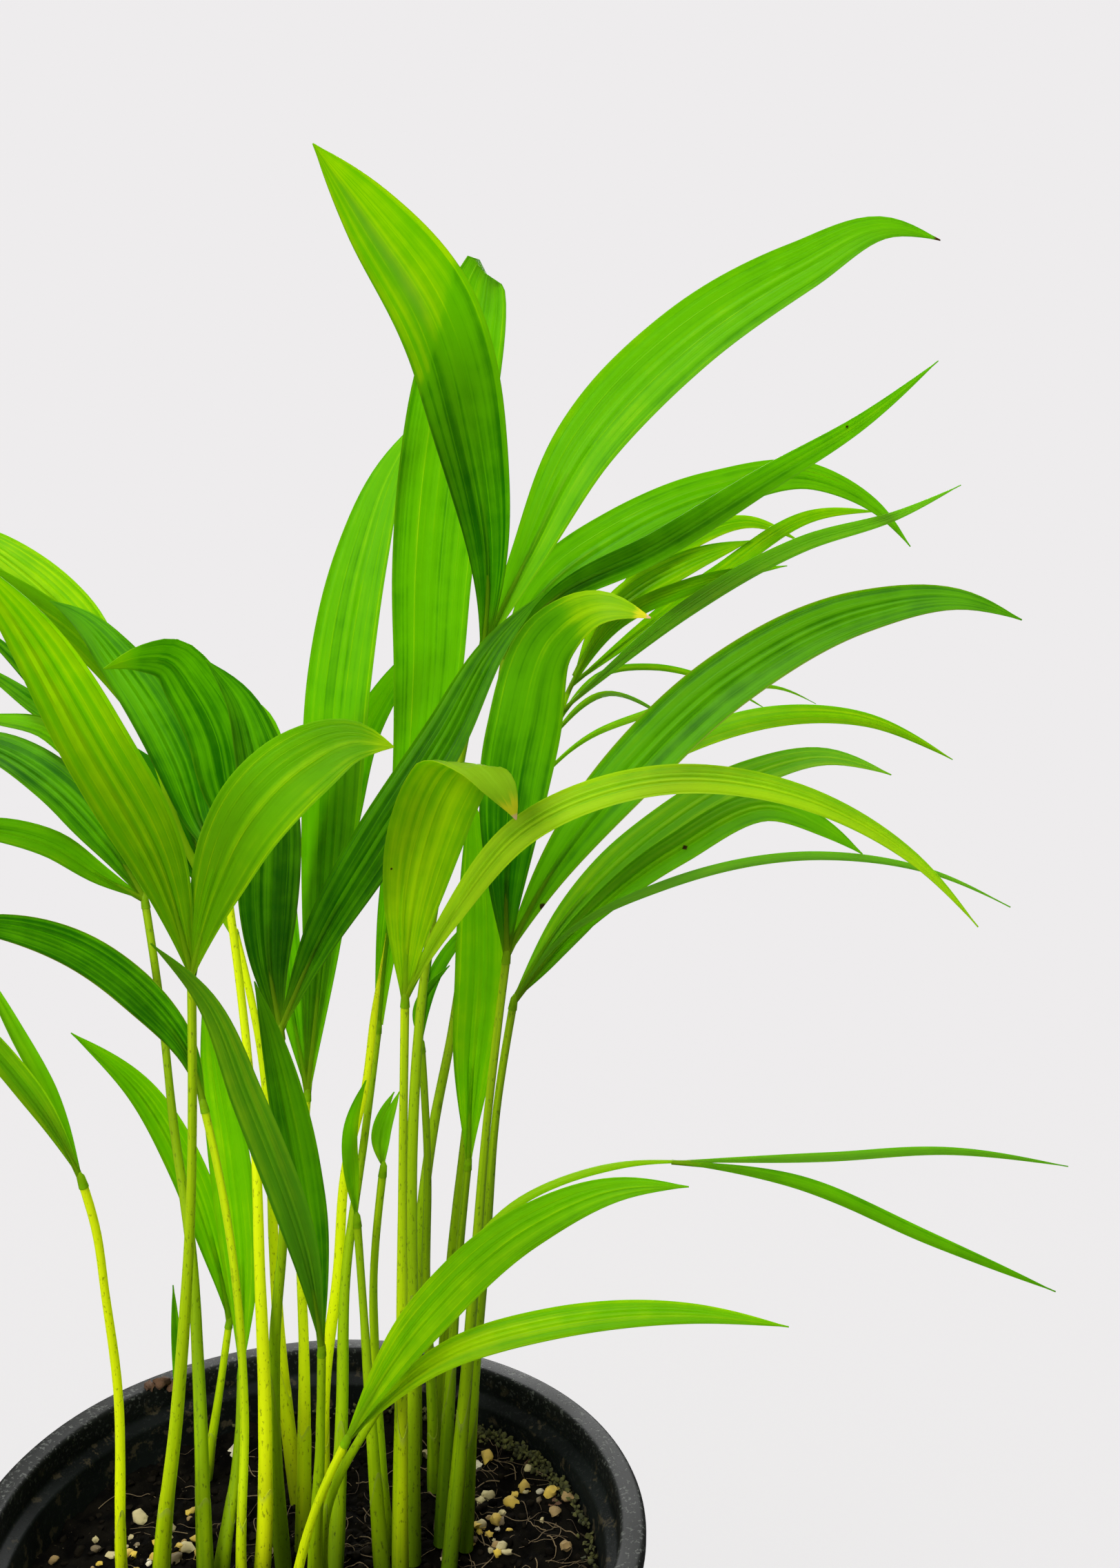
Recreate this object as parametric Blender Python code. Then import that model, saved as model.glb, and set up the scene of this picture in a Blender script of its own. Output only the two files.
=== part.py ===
"""A clump of young palms in a round black nursery pot.

Metres, +Z up. The origin is the middle of the pot's flat base, and +X is to the right of
someone who faces the plant from -Y. The fronds are set out in millimetres from the middle of
the soil's surface, so they stay on their soil when the pot changes size.
"""

import math

import bmesh
import bpy
from mathutils import Matrix, Vector

MM = 0.001

# ---- pot ------------------------------------------------------------------------------------
RIM_DIAMETER = 170 * MM
POT_HEIGHT = 150 * MM
WALL = 1.8 * MM
BASE_DIAMETER = 116 * MM
BASE_EDGE = 2.0 * MM  # the rounding under the base
COLLAR_HEIGHT = 11 * MM  # the wider band at the top, which stacked pots rest on
COLLAR_STEP = 4.5 * MM  # how far the collar stands out from the body
LIP_WIDTH = 6.5 * MM
LIP_DEPTH = 4.0 * MM
POT_SEGMENTS = 48

# ---- soil -----------------------------------------------------------------------------------
SOIL_DROP = 18 * MM  # from the rim down to the soil
CLEARANCE = 0.3 * MM  # between pieces that touch in real life
ROOTED = 10 * MM  # how deep a stem goes into the soil

# ---- stems and leaves -------------------------------------------------------------------------
FOOT_RADIUS = 2.1 * MM
PETIOLE_RADIUS = 1.05 * MM
STEM_SIDES = 6
LEAF_THICKNESS = 0.8 * MM
KEEL = 0.14  # how far a blade's edges rise, as a share of its half width
TIP_WIDTH = 0.9 * MM

FRONT = (0, -1, 0.1)


def blade(*points, wide, faces=FRONT, twist=0, twist_from=0.0, widest=0.42, on=0.0):
    """One leaflet. It leaves its frond's stalk at the share `on` of the stalk and passes
    through the points; `wide` is its greatest width in mm, `faces` the way its upper side
    looks where it starts, and `twist` how many degrees it has turned at its tip."""
    return dict(points=points, wide=wide, faces=faces, twist=twist,
                twist_from=twist_from, widest=widest, on=on)


# Each frond: its stem's way up from the soil, the stalk that carries its leaflets where that
# is longer than a bare fork, its foot's share of FOOT_RADIUS, and its leaflets.
FRONDS = {
    "low_front": dict(
        stem=[(-6, -22, 0), (-3, -24, 21), (2, -27, 40), (9, -31, 58)],
        thick=0.7,
        blades=[
            blade((27, -40, 92), (49, -48, 116), (68, -56, 127), (81, -62, 129), wide=10.5, faces=(-0.5, -1, 0.5)),
            blade((32, -36, 80), (55, -42, 89), (85, -50, 93), (106, -56, 91), wide=7, faces=(-0.2, -1, 0.8)),
        ],
    ),
    "low_feather": dict(
        stem=[(3, -10, 0), (4, -12, 26), (19, -20, 62), (32, -27, 90)],
        stalk=[(50, -33, 115), (72, -36, 123), (88, -37, 123)],
        thick=0.6,
        blades=[
            blade((120, -38, 122), (150, -40, 122), (177, -44, 118), wide=2.6, faces=(0, -0.6, 1), on=1),
            blade((111, -43, 119), (140, -52, 107), (166, -62, 97), wide=3.6, faces=(0, -1, 1), on=1),
        ],
    ),
    "crossing_pair": dict(
        stem=[(1, -15, 0), (1, -16, 16), (3, -22, 51), (4, -27, 79)],
        blades=[
            blade((1, -36, 107), (-10, -44, 148), (-18, -50, 173), (-27, -56, 186), wide=7.5, faces=(0.2, -1, 0.2)),
            blade((2, -27, 108), (-2, -28, 140), (-5, -28, 156), (-8, -27, 168), wide=9.5, faces=(0.3, -1, 0)),
        ],
    ),
    "left_pair": dict(
        stem=[(-37, -8, 0), (-36, -9, 15), (-30, -15, 59), (-24, -24, 115), (-21, -32, 171)],
        blades=[
            blade((-15, -35, 191), (-7, -38, 207), (4, -41, 218), (14, -44, 223), (22, -46, 222), wide=17, faces=(-0.4, -1, 0.5), widest=0.58),
            blade((-26, -35, 196), (-37, -42, 223), (-47, -52, 247), (-56, -64, 263), wide=14, faces=(0.3, -1, 0.1)),
        ],
    ),
    "hood_pair": dict(
        stem=[(22, -9, 0), (22, -10, 8), (23, -14, 62), (24, -18, 117), (25, -22, 160)],
        blades=[
            blade((27, -25, 186), (30, -28, 200), (33, -31, 209), (37, -37, 216), (41, -43, 216.5), (44, -46, 213), (47, -46, 206), wide=17, faces=(-0.2, -1, 0), widest=0.5, twist=50, twist_from=0.72),
            blade((35, -27, 180), (51, -33, 201), (78, -40, 212), (108, -48, 209), (130, -55, 197), (144, -60, 182), wide=7, faces=(-0.4, -1, 0.6), widest=0.3),
        ],
    ),
    "broad_right_pair": dict(
        stem=[(35, -2, 0), (36, -2, 10), (39, -3, 44), (42, -5, 82), (45, -7, 121), (50, -9, 165)],
        blades=[
            blade((50, -10, 183), (54, -12, 219), (60, -18, 241), (69, -26, 248), (79, -30, 246), wide=17, faces=(-0.3, -1, 0), twist=-50, twist_from=0.5, widest=0.5),
            blade((62, -11, 188), (79, -14, 210), (101, -18, 231), (129, -24, 246), (150, -32, 249), (161, -38, 245), wide=14, faces=(-0.4, -1, 0.4), widest=0.4),
        ],
    ),
    "split_right": dict(
        stem=[(40, 5, 0), (42, 5, 39), (46, 3, 87), (49, 2, 124), (53, 1, 150)],
        blades=[
            blade((68, 4, 172), (90, 6, 191), (112, 4, 204), (130, -1, 209), (145, -6, 205), wide=9, faces=(-0.4, -1, 0.5)),
            blade((70, 0, 170), (92, -4, 188), (114, -10, 199), (126, -16, 194), (133, -20, 189), wide=8, faces=(-0.2, -1, 0.6), widest=0.6),
            blade((65, -4, 168), (86, -12, 181), (122, -20, 189), (147, -28, 186), (163, -36, 179), wide=2.6, faces=(0, -0.5, 1)),
            blade((65, 6, 161), (79, 14, 169), wide=3.5, faces=(-0.3, -1, 0.6)),
        ],
    ),
    "young_fan": dict(
        stem=[(34, 8, 0), (37, 8, 47), (40, 7, 86), (42, 6, 107)],
        blades=[
            blade((43, 5, 131), (45, 4, 159), (45, 5, 185), (44, 8, 201), wide=13, faces=(0.2, -1, 0), widest=0.5),
        ],
    ),
    "dark_pair": dict(
        stem=[(-7, 6, 0), (-8, 5, 25), (-7, 4, 66), (-4, 0, 96), (-3, -4, 130), (-3, -5, 148)],
        blades=[
            blade((8, -6, 173), (21, -7, 194), (36, -7, 217), (49, -6, 239), (60, -4, 250), wide=12, faces=(-0.3, -1, 0.1)),
            blade((-5, -3, 164), (-5, -1, 178), (-4, 1, 198), (-6, 3, 214), (-10, 4, 226), (-17, 4, 235), wide=14.5, faces=(0.2, -1, 0)),
        ],
    ),
    "tall_pair": dict(
        stem=[(26, 2, 0), (27, 2, 71), (28, 3, 116), (31, 5, 151), (39, 8, 196), (47, 8, 235)],
        blades=[
            blade((48, 4, 251), (43, -6, 284), (33.5, -21, 310.5), (20, -35, 326.5), (9, -48, 337), wide=19, faces=(0.3, -1, -0.2), widest=0.55),
            blade((58, 9, 257), (72, 10, 283), (96, 12, 307), (125, 14, 325), (148, 16, 335), (161, 16, 332.5), wide=16.5, faces=(-0.3, -1, 0.2), widest=0.45),
        ],
    ),
    "folded_tall": dict(
        stem=[(6, 2, 0), (9, 6, 42), (11, 9, 78), (17, 14, 114), (21, 18, 140)],
        blades=[
            blade((25, 21, 169), (32, 24, 199), (35.5, 26, 228), (37, 27, 253), (40, 28.5, 278), (44.5, 30, 301), (49, 31, 317), (51.5, 33.5, 325), (53, 37.5, 324), (54, 40, 317), wide=21.5, faces=(0.1, -1, 0), widest=0.74),
        ],
    ),
    "hidden_tall": dict(
        stem=[(-2, 12, 0), (0, 16, 56), (0, 20, 83), (3, 26, 120)],
        blades=[
            blade((7, 29, 150), (11, 32, 189), (14.5, 34.5, 226), (21, 37, 257), (28, 39, 276.5), (38, 42, 292), wide=16.5, faces=(-0.3, -1, 0.1), widest=0.55),
            blade((14, 38, 190), (22, 43, 214), (32, 45, 228), (48, 48, 240), wide=10, faces=(-0.2, -1, 0.2)),
            blade((-3, 33, 180), (-2, 36, 205), (-6, 39, 218), (-16, 42, 223), wide=9, faces=(0.1, -1, 0.3)),
        ],
    ),
    "back_right_pair": dict(
        stem=[(30, 44, 0), (31, 44, 37), (33, 46, 71), (37, 47, 99), (43, 48, 128), (50, 50, 174), (59, 54, 230)],
        blades=[
            blade((70, 57, 246), (92, 62, 261), (120, 68, 272), (149, 71, 276), (166, 67, 268), (175, 61, 257), wide=14, faces=(-0.2, -1, 0.4), widest=0.22),
            blade((71, 50, 244), (98, 46, 258), (126, 44, 275), (153, 42, 291), (172, 40, 306), wide=8, faces=(-0.2, -1, -0.2), widest=0.3),
        ],
    ),
    "back_feather": dict(
        stem=[(38, 53, 0), (43, 55, 60), (48, 55, 102), (52, 56, 133), (62, 60, 175)],
        stalk=[(74, 66, 207), (84, 72, 227)],
        blades=[
            blade((96, 80, 242), (118, 88, 258), (139, 96, 263), (156, 100, 257), wide=6, on=1),
            blade((92, 76, 238), (116, 82, 252), (136, 86, 258), wide=8.5, on=0.95),
            blade((124, 81, 248), (156, 90, 265), (179, 96, 266), wide=5.5, on=0.9),
            blade((92, 69, 236), (115, 73, 246), (145, 79, 251), wide=5, on=0.85),
            blade((87, 66, 221), (112, 63, 241), (143, 60, 258), (170, 58, 266), (187, 56, 274), wide=5, on=0.75),
            blade((90, 71, 222), (104, 73, 223), (121, 73, 219), (138, 71, 210), wide=2.6, faces=(0, -0.5, 1), on=0.65),
            blade((93, 78, 215), (107, 82, 209), (118, 86, 198), wide=2.6, faces=(0, -0.5, 1), on=0.6),
            blade((84, 60, 206), (99, 58, 212), (121, 58, 218), (137, 60, 218), (149, 62, 213), wide=2.8, faces=(0, -0.5, 1), on=0.4),
            blade((87, 54, 191), (106, 52, 203), (133, 50, 211), (158, 48, 210), (183, 44, 199), wide=8.5, faces=(0, -0.8, 1), on=0.2, widest=0.5),
        ],
    ),
    "folded_left": dict(
        stem=[(-13, -4, 0), (-12, -4, 8), (-10, -2, 49), (-10, 0, 85), (-10, 3, 119), (-12, 8, 152), (-15, 12, 184)],
        blades=[
            blade((-12, 12, 196), (-13, 12, 204), (-15, 11, 217), (-20, 10, 228), (-25, 8, 235), (-31, 4, 236), (-39, -1, 234), wide=15, faces=(0.1, -1, 0), widest=0.4),
            blade((-20, 18, 193), (-25, 20, 210), (-32, 23, 224), (-39, 26, 234), (-46, 29, 242), (-54, 31, 247), wide=12.5, faces=(0.2, -1, 0.2)),
        ],
    ),
    "left_feather": dict(
        stem=[(-3, 32, 0), (-6, 32, 41), (-7, 32, 77), (-7, 32, 108), (-9, 32, 135), (-14, 33, 163)],
        stalk=[(-26, 35, 187), (-33, 36, 211), (-39, 38, 224)],
        blades=[
            blade((-50, 43, 243), (-67, 48, 258), (-82, 54, 266), wide=11, faces=(0.3, -1, 0.3), on=1),
            blade((-46, 35, 235), (-65, 32, 251), (-82, 30, 262), wide=7.5, faces=(0.3, -1, 0.3), on=0.9),
            blade((-39, 44, 201), (-47, 46, 210), (-57, 48, 221), (-70, 52, 235), (-78, 54, 242), wide=5.5, faces=(0.3, -1, 0.3), on=0.42),
            blade((-25, 38, 190), (-34, 40, 203), (-45, 42, 210), (-61, 46, 220), (-69, 48, 226), (-78, 50, 232), wide=7, faces=(0.3, -1, 0.3), on=0.25),
            blade((-27, 37, 184), (-38, 38, 199), (-51, 40, 209), (-59, 41, 215), (-69, 42, 217), (-79, 43, 218), wide=7.5, faces=(0.3, -1, 0.4), on=0.12),
        ],
    ),
    "left_fan": dict(
        stem=[(-26, -3, 0), (-26, -3, 9), (-26, 5, 55), (-27, 12, 89), (-30, 18, 116), (-32, 22, 145), (-35, 26, 173)],
        blades=[
            blade((-43, 28, 188), (-56, 32, 203), (-69, 36, 211), (-84, 40, 214), wide=11.5, faces=(0.3, -1, 0.4)),
            blade((-44, 24, 180), (-56, 20, 190), (-69, 16, 195), (-83, 10, 196), wide=7, faces=(0.3, -1, 0.6)),
        ],
    ),
    "low_left": dict(
        stem=[(-17, -8, 0), (-17, -8, 12), (-15, -2, 49), (-16, 3, 83), (-19, 6, 109), (-22, 8, 126)],
        thick=0.6,
        blades=[
            blade((-25, 10, 138), (-36, 11, 154), (-51, 10, 167), (-66, 6, 174), (-81, 2, 176), wide=9.5, faces=(0.3, -1, 0.5)),
        ],
    ),
    "back_low_left": dict(
        stem=[(-28, 47, 0), (-27, 47, 7), (-24, 46, 24), (-20, 45, 48)],
        thick=0.7,
        blades=[
            blade((-22, 43, 66), (-29, 40, 96), (-40, 36, 121), (-55, 30, 139), wide=9.5, faces=(0.3, -1, 0.2)),
        ],
    ),
    "upright_broad": dict(
        stem=[(-23, 2, 0), (-22, 2, 7), (-18, 8, 28), (-16, 14, 51)],
        blades=[
            blade((-15, 20, 74), (-17, 24, 105), (-20, 27, 130), (-22, 30, 149), wide=11, faces=(-0.2, -1, 0)),
        ],
    ),
    "far_left_pair": dict(
        stem=[(-46, -4, 0), (-46, -4, 13), (-44, -8, 65), (-45, -12, 89), (-46, -15, 108), (-48, -17, 120)],
        thick=0.7,
        blades=[
            blade((-54, -19, 136), (-63, -24, 154), (-71, -30, 168), (-76, -36, 178), wide=5.5, faces=(0.5, -1, 0.2)),
            blade((-55, -13, 141), (-62, -8, 154), (-70, -2, 169), wide=4, faces=(0.6, -1, 0)),
        ],
    ),
    "narrow_upright": dict(
        stem=[(18, -1, 0), (17, 0, 20), (16, 1, 44), (15, 3, 71), (14, 4, 95)],
        blades=[
            blade((13, 4, 106), (13, 4, 120), (17, 3, 132), wide=4, faces=(0.2, -1, 0)),
        ],
    ),
    "spear": dict(
        stem=[(4, 16, 0), (5, 14, 47), (9, 12, 76), (12, 11, 107), (17, 10, 127), (20, 10, 148), (23, 9, 167)],
        blades=[],
    ),
    "small_feather": dict(
        stem=[(34, 29, 0), (34, 29, 24), (33, 30, 65), (34, 31, 94), (33, 32, 129)],
        thick=0.8,
        blades=[
            blade((36, 35, 145), (53, 38, 166), wide=3.6),
            blade((32, 30, 140), (40, 25, 153), wide=2.6),
            blade((34, 35, 143), (38, 39, 163), wide=2.6),
        ],
    ),
    "small_sprig": dict(
        stem=[(20, 7, 0), (18, 8, 49), (18, 9, 77), (21, 10, 105)],
        thick=0.8,
        blades=[
            blade((22, 13, 114), (26, 17, 123), wide=2.8),
            blade((20, 16, 112), (25, 22, 121), wide=2.8),
        ],
    ),
    "sprout": dict(
        stem=[(-37, 10, 0), (-34, 8, 26), (-32, 7, 40)],
        thick=0.6,
        blades=[
            blade((-31, 6, 55), (-31, 5, 69), (-31, 4, 82), wide=2.6),
        ],
    ),
}

LEAF_GREENS = [(0.16, 0.42, 0.02), (0.1, 0.3, 0.015), (0.26, 0.5, 0.03), (0.13, 0.36, 0.02)]
STEM_GREEN = (0.3, 0.5, 0.03)
POT_BLACK = (0.02, 0.022, 0.022)
SOIL_BROWN = (0.025, 0.018, 0.013)


# ---- small tools ------------------------------------------------------------------------------
def material(name, colour, roughness):
    made = bpy.data.materials.get(name) or bpy.data.materials.new(name)
    made.use_nodes = True
    shader = made.node_tree.nodes["Principled BSDF"]
    shader.inputs["Base Color"].default_value = (*colour, 1)
    shader.inputs["Roughness"].default_value = roughness
    made.diffuse_color = (*colour, 1)
    return made


def new_object(name, mesh_builder, look):
    mesh_builder.normal_update()
    bmesh.ops.recalc_face_normals(mesh_builder, faces=mesh_builder.faces)
    mesh = bpy.data.meshes.new(name)
    mesh_builder.to_mesh(mesh)
    mesh_builder.free()
    mesh.shade_smooth()
    mesh.set_sharp_from_angle(angle=math.radians(40))
    mesh.materials.append(look)
    made = bpy.data.objects.new(name, mesh)
    bpy.context.scene.collection.objects.link(made)
    return made


def combine(target, others, operation):
    """Joins or cuts with Boolean modifiers, whose operands stay hidden in the file."""
    for index, other in enumerate(others):
        other.hide_render = True
        other.display_type = "WIRE"
        step = target.modifiers.new(f"{operation.lower()}_{index}", "BOOLEAN")
        step.operation = operation
        step.object = other
        step.solver = "EXACT"
        step.use_self = True


def loft(mesh_builder, sections):
    """Skins rings of points that all have the same count, and closes both ends."""
    rings = [[mesh_builder.verts.new(point) for point in section] for section in sections]
    count = len(rings[0])
    for low, high in zip(rings, rings[1:]):
        for i in range(count):
            j = (i + 1) % count
            mesh_builder.faces.new((low[i], low[j], high[j], high[i]))
    return rings


def smooth_path(points, count):
    """Evenly spaced points on a smooth curve through the given ones."""
    points = [Vector(point) for point in points]
    spans = [(b - a).length for a, b in zip(points, points[1:])]
    slopes = [(b - a) / span for a, b, span in zip(points, points[1:], spans)]
    tangents = [slopes[0]]
    for i in range(1, len(points) - 1):
        before, after = spans[i - 1], spans[i]
        tangents.append((slopes[i - 1] * after + slopes[i] * before) / (before + after))
    tangents.append(slopes[-1])
    if len(points) > 2:
        tangents[0] = 1.5 * slopes[0] - 0.5 * tangents[1]
        tangents[-1] = 1.5 * slopes[-1] - 0.5 * tangents[-2]
    fine = []
    steps = 24
    for i, span in enumerate(spans):
        for k in range(steps):
            t = k / steps
            fine.append(
                (2 * t**3 - 3 * t**2 + 1) * points[i]
                + (t**3 - 2 * t**2 + t) * span * tangents[i]
                + (3 * t**2 - 2 * t**3) * points[i + 1]
                + (t**3 - t**2) * span * tangents[i + 1]
            )
    fine.append(points[-1])
    walked = [0.0]
    for a, b in zip(fine, fine[1:]):
        walked.append(walked[-1] + (b - a).length)
    placed = []
    index = 0
    for k in range(count):
        goal = walked[-1] * k / (count - 1)
        while index < len(fine) - 2 and walked[index + 1] < goal:
            index += 1
        share = (goal - walked[index]) / (walked[index + 1] - walked[index])
        placed.append(fine[index].lerp(fine[index + 1], min(share, 1.0)))
    return placed


def directions(path):
    ahead = [(b - a).normalized() for a, b in zip(path, path[1:])]
    return [ahead[0]] + [(a + b).normalized() for a, b in zip(ahead, ahead[1:])] + [ahead[-1]]


def carried_normals(path, faces):
    """A normal for each point, turned no more than the path itself turns."""
    tangents = directions(path)
    normal = Vector(faces)
    normals = []
    for tangent in tangents:
        normal = (normal - normal.dot(tangent) * tangent).normalized()
        normals.append(normal.copy())
    return tangents, normals


def tube(mesh_builder, path, radii, sides, faces=(0.35, -1, 0.2)):
    tangents, normals = carried_normals(path, faces)
    sections = []
    for point, tangent, normal, radius in zip(path, tangents, normals, radii):
        across = tangent.cross(normal)
        sections.append([
            point + radius * (math.cos(a) * normal + math.sin(a) * across)
            for a in (2 * math.pi * k / sides for k in range(sides))
        ])
    rings = loft(mesh_builder, sections)
    mesh_builder.faces.new(rings[0])
    mesh_builder.faces.new(rings[-1])


# ---- pot --------------------------------------------------------------------------------------
def body_radius(height):
    """The outer radius of the tapered body at a height."""
    top = POT_HEIGHT - COLLAR_HEIGHT
    low = BASE_DIAMETER / 2
    high = RIM_DIAMETER / 2 - LIP_DEPTH - COLLAR_STEP
    return low + (high - low) * height / top


def inner_radius(height):
    """The inner radius of the body's straight wall, from the floor's edge to the step."""
    floor = WALL + BASE_EDGE
    step = POT_HEIGHT - COLLAR_HEIGHT + WALL
    low = body_radius(WALL) - WALL
    high = body_radius(step - WALL) - WALL
    return low + (high - low) * (height - floor) / (step - floor)


def pot_profile():
    """From the middle of the base, up the outside and down the inside to the floor."""
    rim = RIM_DIAMETER / 2
    collar_foot = POT_HEIGHT - COLLAR_HEIGHT
    collar = rim - LIP_DEPTH
    inner_step = collar_foot + WALL
    inner_floor = WALL + BASE_EDGE
    lip_round = LIP_DEPTH * 0.3
    return [
        (body_radius(0) - BASE_EDGE, 0),
        (body_radius(BASE_EDGE), BASE_EDGE),
        (body_radius(collar_foot), collar_foot),
        (collar - WALL / 2, collar_foot + WALL),
        (collar, POT_HEIGHT - LIP_DEPTH - WALL),
        (rim, POT_HEIGHT - LIP_DEPTH),
        (rim, POT_HEIGHT - lip_round),
        (rim - lip_round, POT_HEIGHT),
        (rim - LIP_WIDTH + lip_round, POT_HEIGHT),
        (rim - LIP_WIDTH, POT_HEIGHT - lip_round),
        (collar - WALL * 1.5, inner_step + COLLAR_STEP * 0.4),
        (inner_radius(inner_step), inner_step),
        (inner_radius(inner_floor), inner_floor),
        (inner_radius(inner_floor) - BASE_EDGE, WALL),
    ]


def turned(mesh_builder, profile):
    """A closed solid of revolution; the profile starts and ends on flat discs."""
    rings = []
    for radius, height in profile:
        rings.append([
            mesh_builder.verts.new((radius * math.cos(a), radius * math.sin(a), height))
            for a in (2 * math.pi * k / POT_SEGMENTS for k in range(POT_SEGMENTS))
        ])
    for low, high in zip(rings, rings[1:]):
        for i in range(POT_SEGMENTS):
            j = (i + 1) % POT_SEGMENTS
            mesh_builder.faces.new((low[i], low[j], high[j], high[i]))
    mesh_builder.faces.new(rings[0])
    mesh_builder.faces.new(rings[-1])


def make_pot():
    shape = bmesh.new()
    turned(shape, pot_profile())
    return new_object("pot", shape, material("pot_plastic", POT_BLACK, 0.45))


# ---- soil -------------------------------------------------------------------------------------
def soil_top():
    return POT_HEIGHT - SOIL_DROP


def foot_of(frond):
    """Where a stem meets the soil's surface, in the pot's frame."""
    x, y, _ = frond["stem"][0]
    return Vector((x * MM, y * MM, soil_top()))


def foot_radius(frond):
    return FOOT_RADIUS * frond.get("thick", 1.0)


def make_soil():
    top = soil_top()
    shelf = POT_HEIGHT - COLLAR_HEIGHT
    foot = WALL + CLEARANCE + BASE_EDGE
    widest = inner_radius(min(shelf, top)) - CLEARANCE
    profile = [
        (inner_radius(foot) - CLEARANCE - BASE_EDGE, WALL + CLEARANCE),
        (inner_radius(foot) - CLEARANCE, foot),
        (widest, min(shelf, top - CLEARANCE)),
        (widest, top),
    ]
    shape = bmesh.new()
    turned(shape, profile)
    soil = new_object("soil", shape, material("soil", SOIL_BROWN, 0.95))
    sockets = bmesh.new()
    for frond in FRONDS.values():
        foot = foot_of(frond)
        reach = ROOTED + CLEARANCE
        bmesh.ops.create_cone(
            sockets, cap_ends=True, segments=8, depth=2 * reach,
            radius1=foot_radius(frond) / math.cos(math.pi / 8) + CLEARANCE,
            radius2=foot_radius(frond) / math.cos(math.pi / 8) + CLEARANCE,
            matrix=Matrix.Translation(foot),
        )
    cutter = new_object("sockets", sockets, material("soil", SOIL_BROWN, 0.95))
    combine(soil, [cutter], "DIFFERENCE")
    return soil


# ---- fronds -----------------------------------------------------------------------------------
def place(point):
    """A plant point, in millimetres from the middle of the soil, in the pot's frame."""
    x, y, z = point
    return Vector((x * MM, y * MM, soil_top() + z * MM))


def make_stem(name, frond):
    route = [place(point) for point in frond["stem"]]
    path = smooth_path(route, len(route) + 2)
    root = path[0] - Vector((0, 0, ROOTED))
    thick = foot_radius(frond)
    radii = []
    for k in range(len(path)):
        share = k / (len(path) - 1)
        radii.append(thick + (PETIOLE_RADIUS - thick) * min(1.0, share / 0.75))
    path[0] = path[0] + Vector((0, 0, CLEARANCE))
    shape = bmesh.new()
    tube(shape, [root] + path, [thick] + radii, STEM_SIDES)
    return new_object(f"stem_{name}", shape, material("stem", STEM_GREEN, 0.5))


def width_share(t, widest):
    """How wide a leaflet is along its length: narrow at its foot, pointed at its tip."""
    if t < widest:
        s = t / widest
        return 0.1 + 0.9 * math.sin(0.5 * math.pi * s) ** 1.15
    s = (t - widest) / (1 - widest)
    return 1 - s**2.4


def add_blade(mesh_builder, start, leaf, stations):
    route = [start] + [place(point) for point in leaf["points"]]
    path = smooth_path(route, stations)
    tangents, normals = carried_normals(path, leaf["faces"])
    sections = []
    for k, (point, tangent, normal) in enumerate(zip(path, tangents, normals)):
        t = k / (stations - 1)
        turn = max(0.0, (t - leaf["twist_from"]) / (1 - leaf["twist_from"])) * leaf["twist"]
        normal = Matrix.Rotation(math.radians(turn), 3, tangent) @ normal
        across = tangent.cross(normal)
        half = max(leaf["wide"] * MM * width_share(t, leaf["widest"]), TIP_WIDTH) / 2
        thick = LEAF_THICKNESS / 2
        edge = thick * 0.6
        rise = KEEL * half
        sections.append([
            point - half * across + (rise + edge) * normal,
            point + thick * normal,
            point + half * across + (rise + edge) * normal,
            point + half * across + (rise - edge) * normal,
            point - thick * normal,
            point - half * across + (rise - edge) * normal,
        ])
    rings = loft(mesh_builder, sections)
    for ring in (rings[0], rings[-1]):
        mesh_builder.faces.new((ring[0], ring[1], ring[4], ring[5]))
        mesh_builder.faces.new((ring[1], ring[2], ring[3], ring[4]))


def make_leaf(name, frond, look):
    """A frond's blades with the stalk they grow from, joined as one grown piece."""
    route = [place(point) for point in frond["stem"]]
    heading = (smooth_path(route, 30)[-1] - smooth_path(route, 30)[-2]).normalized()
    fork = route[-1] + heading * (CLEARANCE + 0.15 * PETIOLE_RADIUS)
    collar = 5 * MM
    stalk = [fork] + [place(point) for point in frond.get("stalk", [])]
    if len(stalk) == 1:
        stalk.append(fork + heading * collar)
    path = smooth_path(stalk, 3 if len(stalk) == 2 else 4 * len(stalk))
    last = len(path) - 1
    radii = [PETIOLE_RADIUS * (1.12 - 0.25 * k / last) for k in range(last + 1)]
    shape = bmesh.new()
    tube(shape, path, radii, STEM_SIDES)
    leaf_object = new_object(f"leaf_{name}", shape, look)
    along = smooth_path(stalk, 101)
    nodes = []
    for index, leaf in enumerate(frond["blades"]):
        root = 0.35 if "stalk" not in frond else max(0.08, leaf["on"] - 0.06)
        start = along[round(100 * root)]
        shape = bmesh.new()
        stations = 4 + len(leaf["points"])
        add_blade(shape, start, leaf, stations)
        nodes.append(new_object(f"blade_{name}_{index}", shape, look))
    combine(leaf_object, nodes, "UNION")
    return leaf_object


def main():
    for old in list(bpy.data.objects):
        bpy.data.objects.remove(old, do_unlink=True)
    make_pot()
    make_soil()
    for index, (name, frond) in enumerate(FRONDS.items()):
        make_stem(name, frond)
        if frond["blades"]:
            shade = index % len(LEAF_GREENS)
            make_leaf(name, frond, material(f"leaf_{shade}", LEAF_GREENS[shade], 0.4))


main()
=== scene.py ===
"""The looks of a clump of young palms in a round black nursery pot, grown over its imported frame.

Metres, +Z up, with the origin in the middle of the pot's base. The fronds are set out in
millimetres from the middle of the soil's surface, and follow the same curves as the solids
that they stand for.
"""
import math

import bmesh
import bpy
import numpy as np
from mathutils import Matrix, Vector, noise


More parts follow.
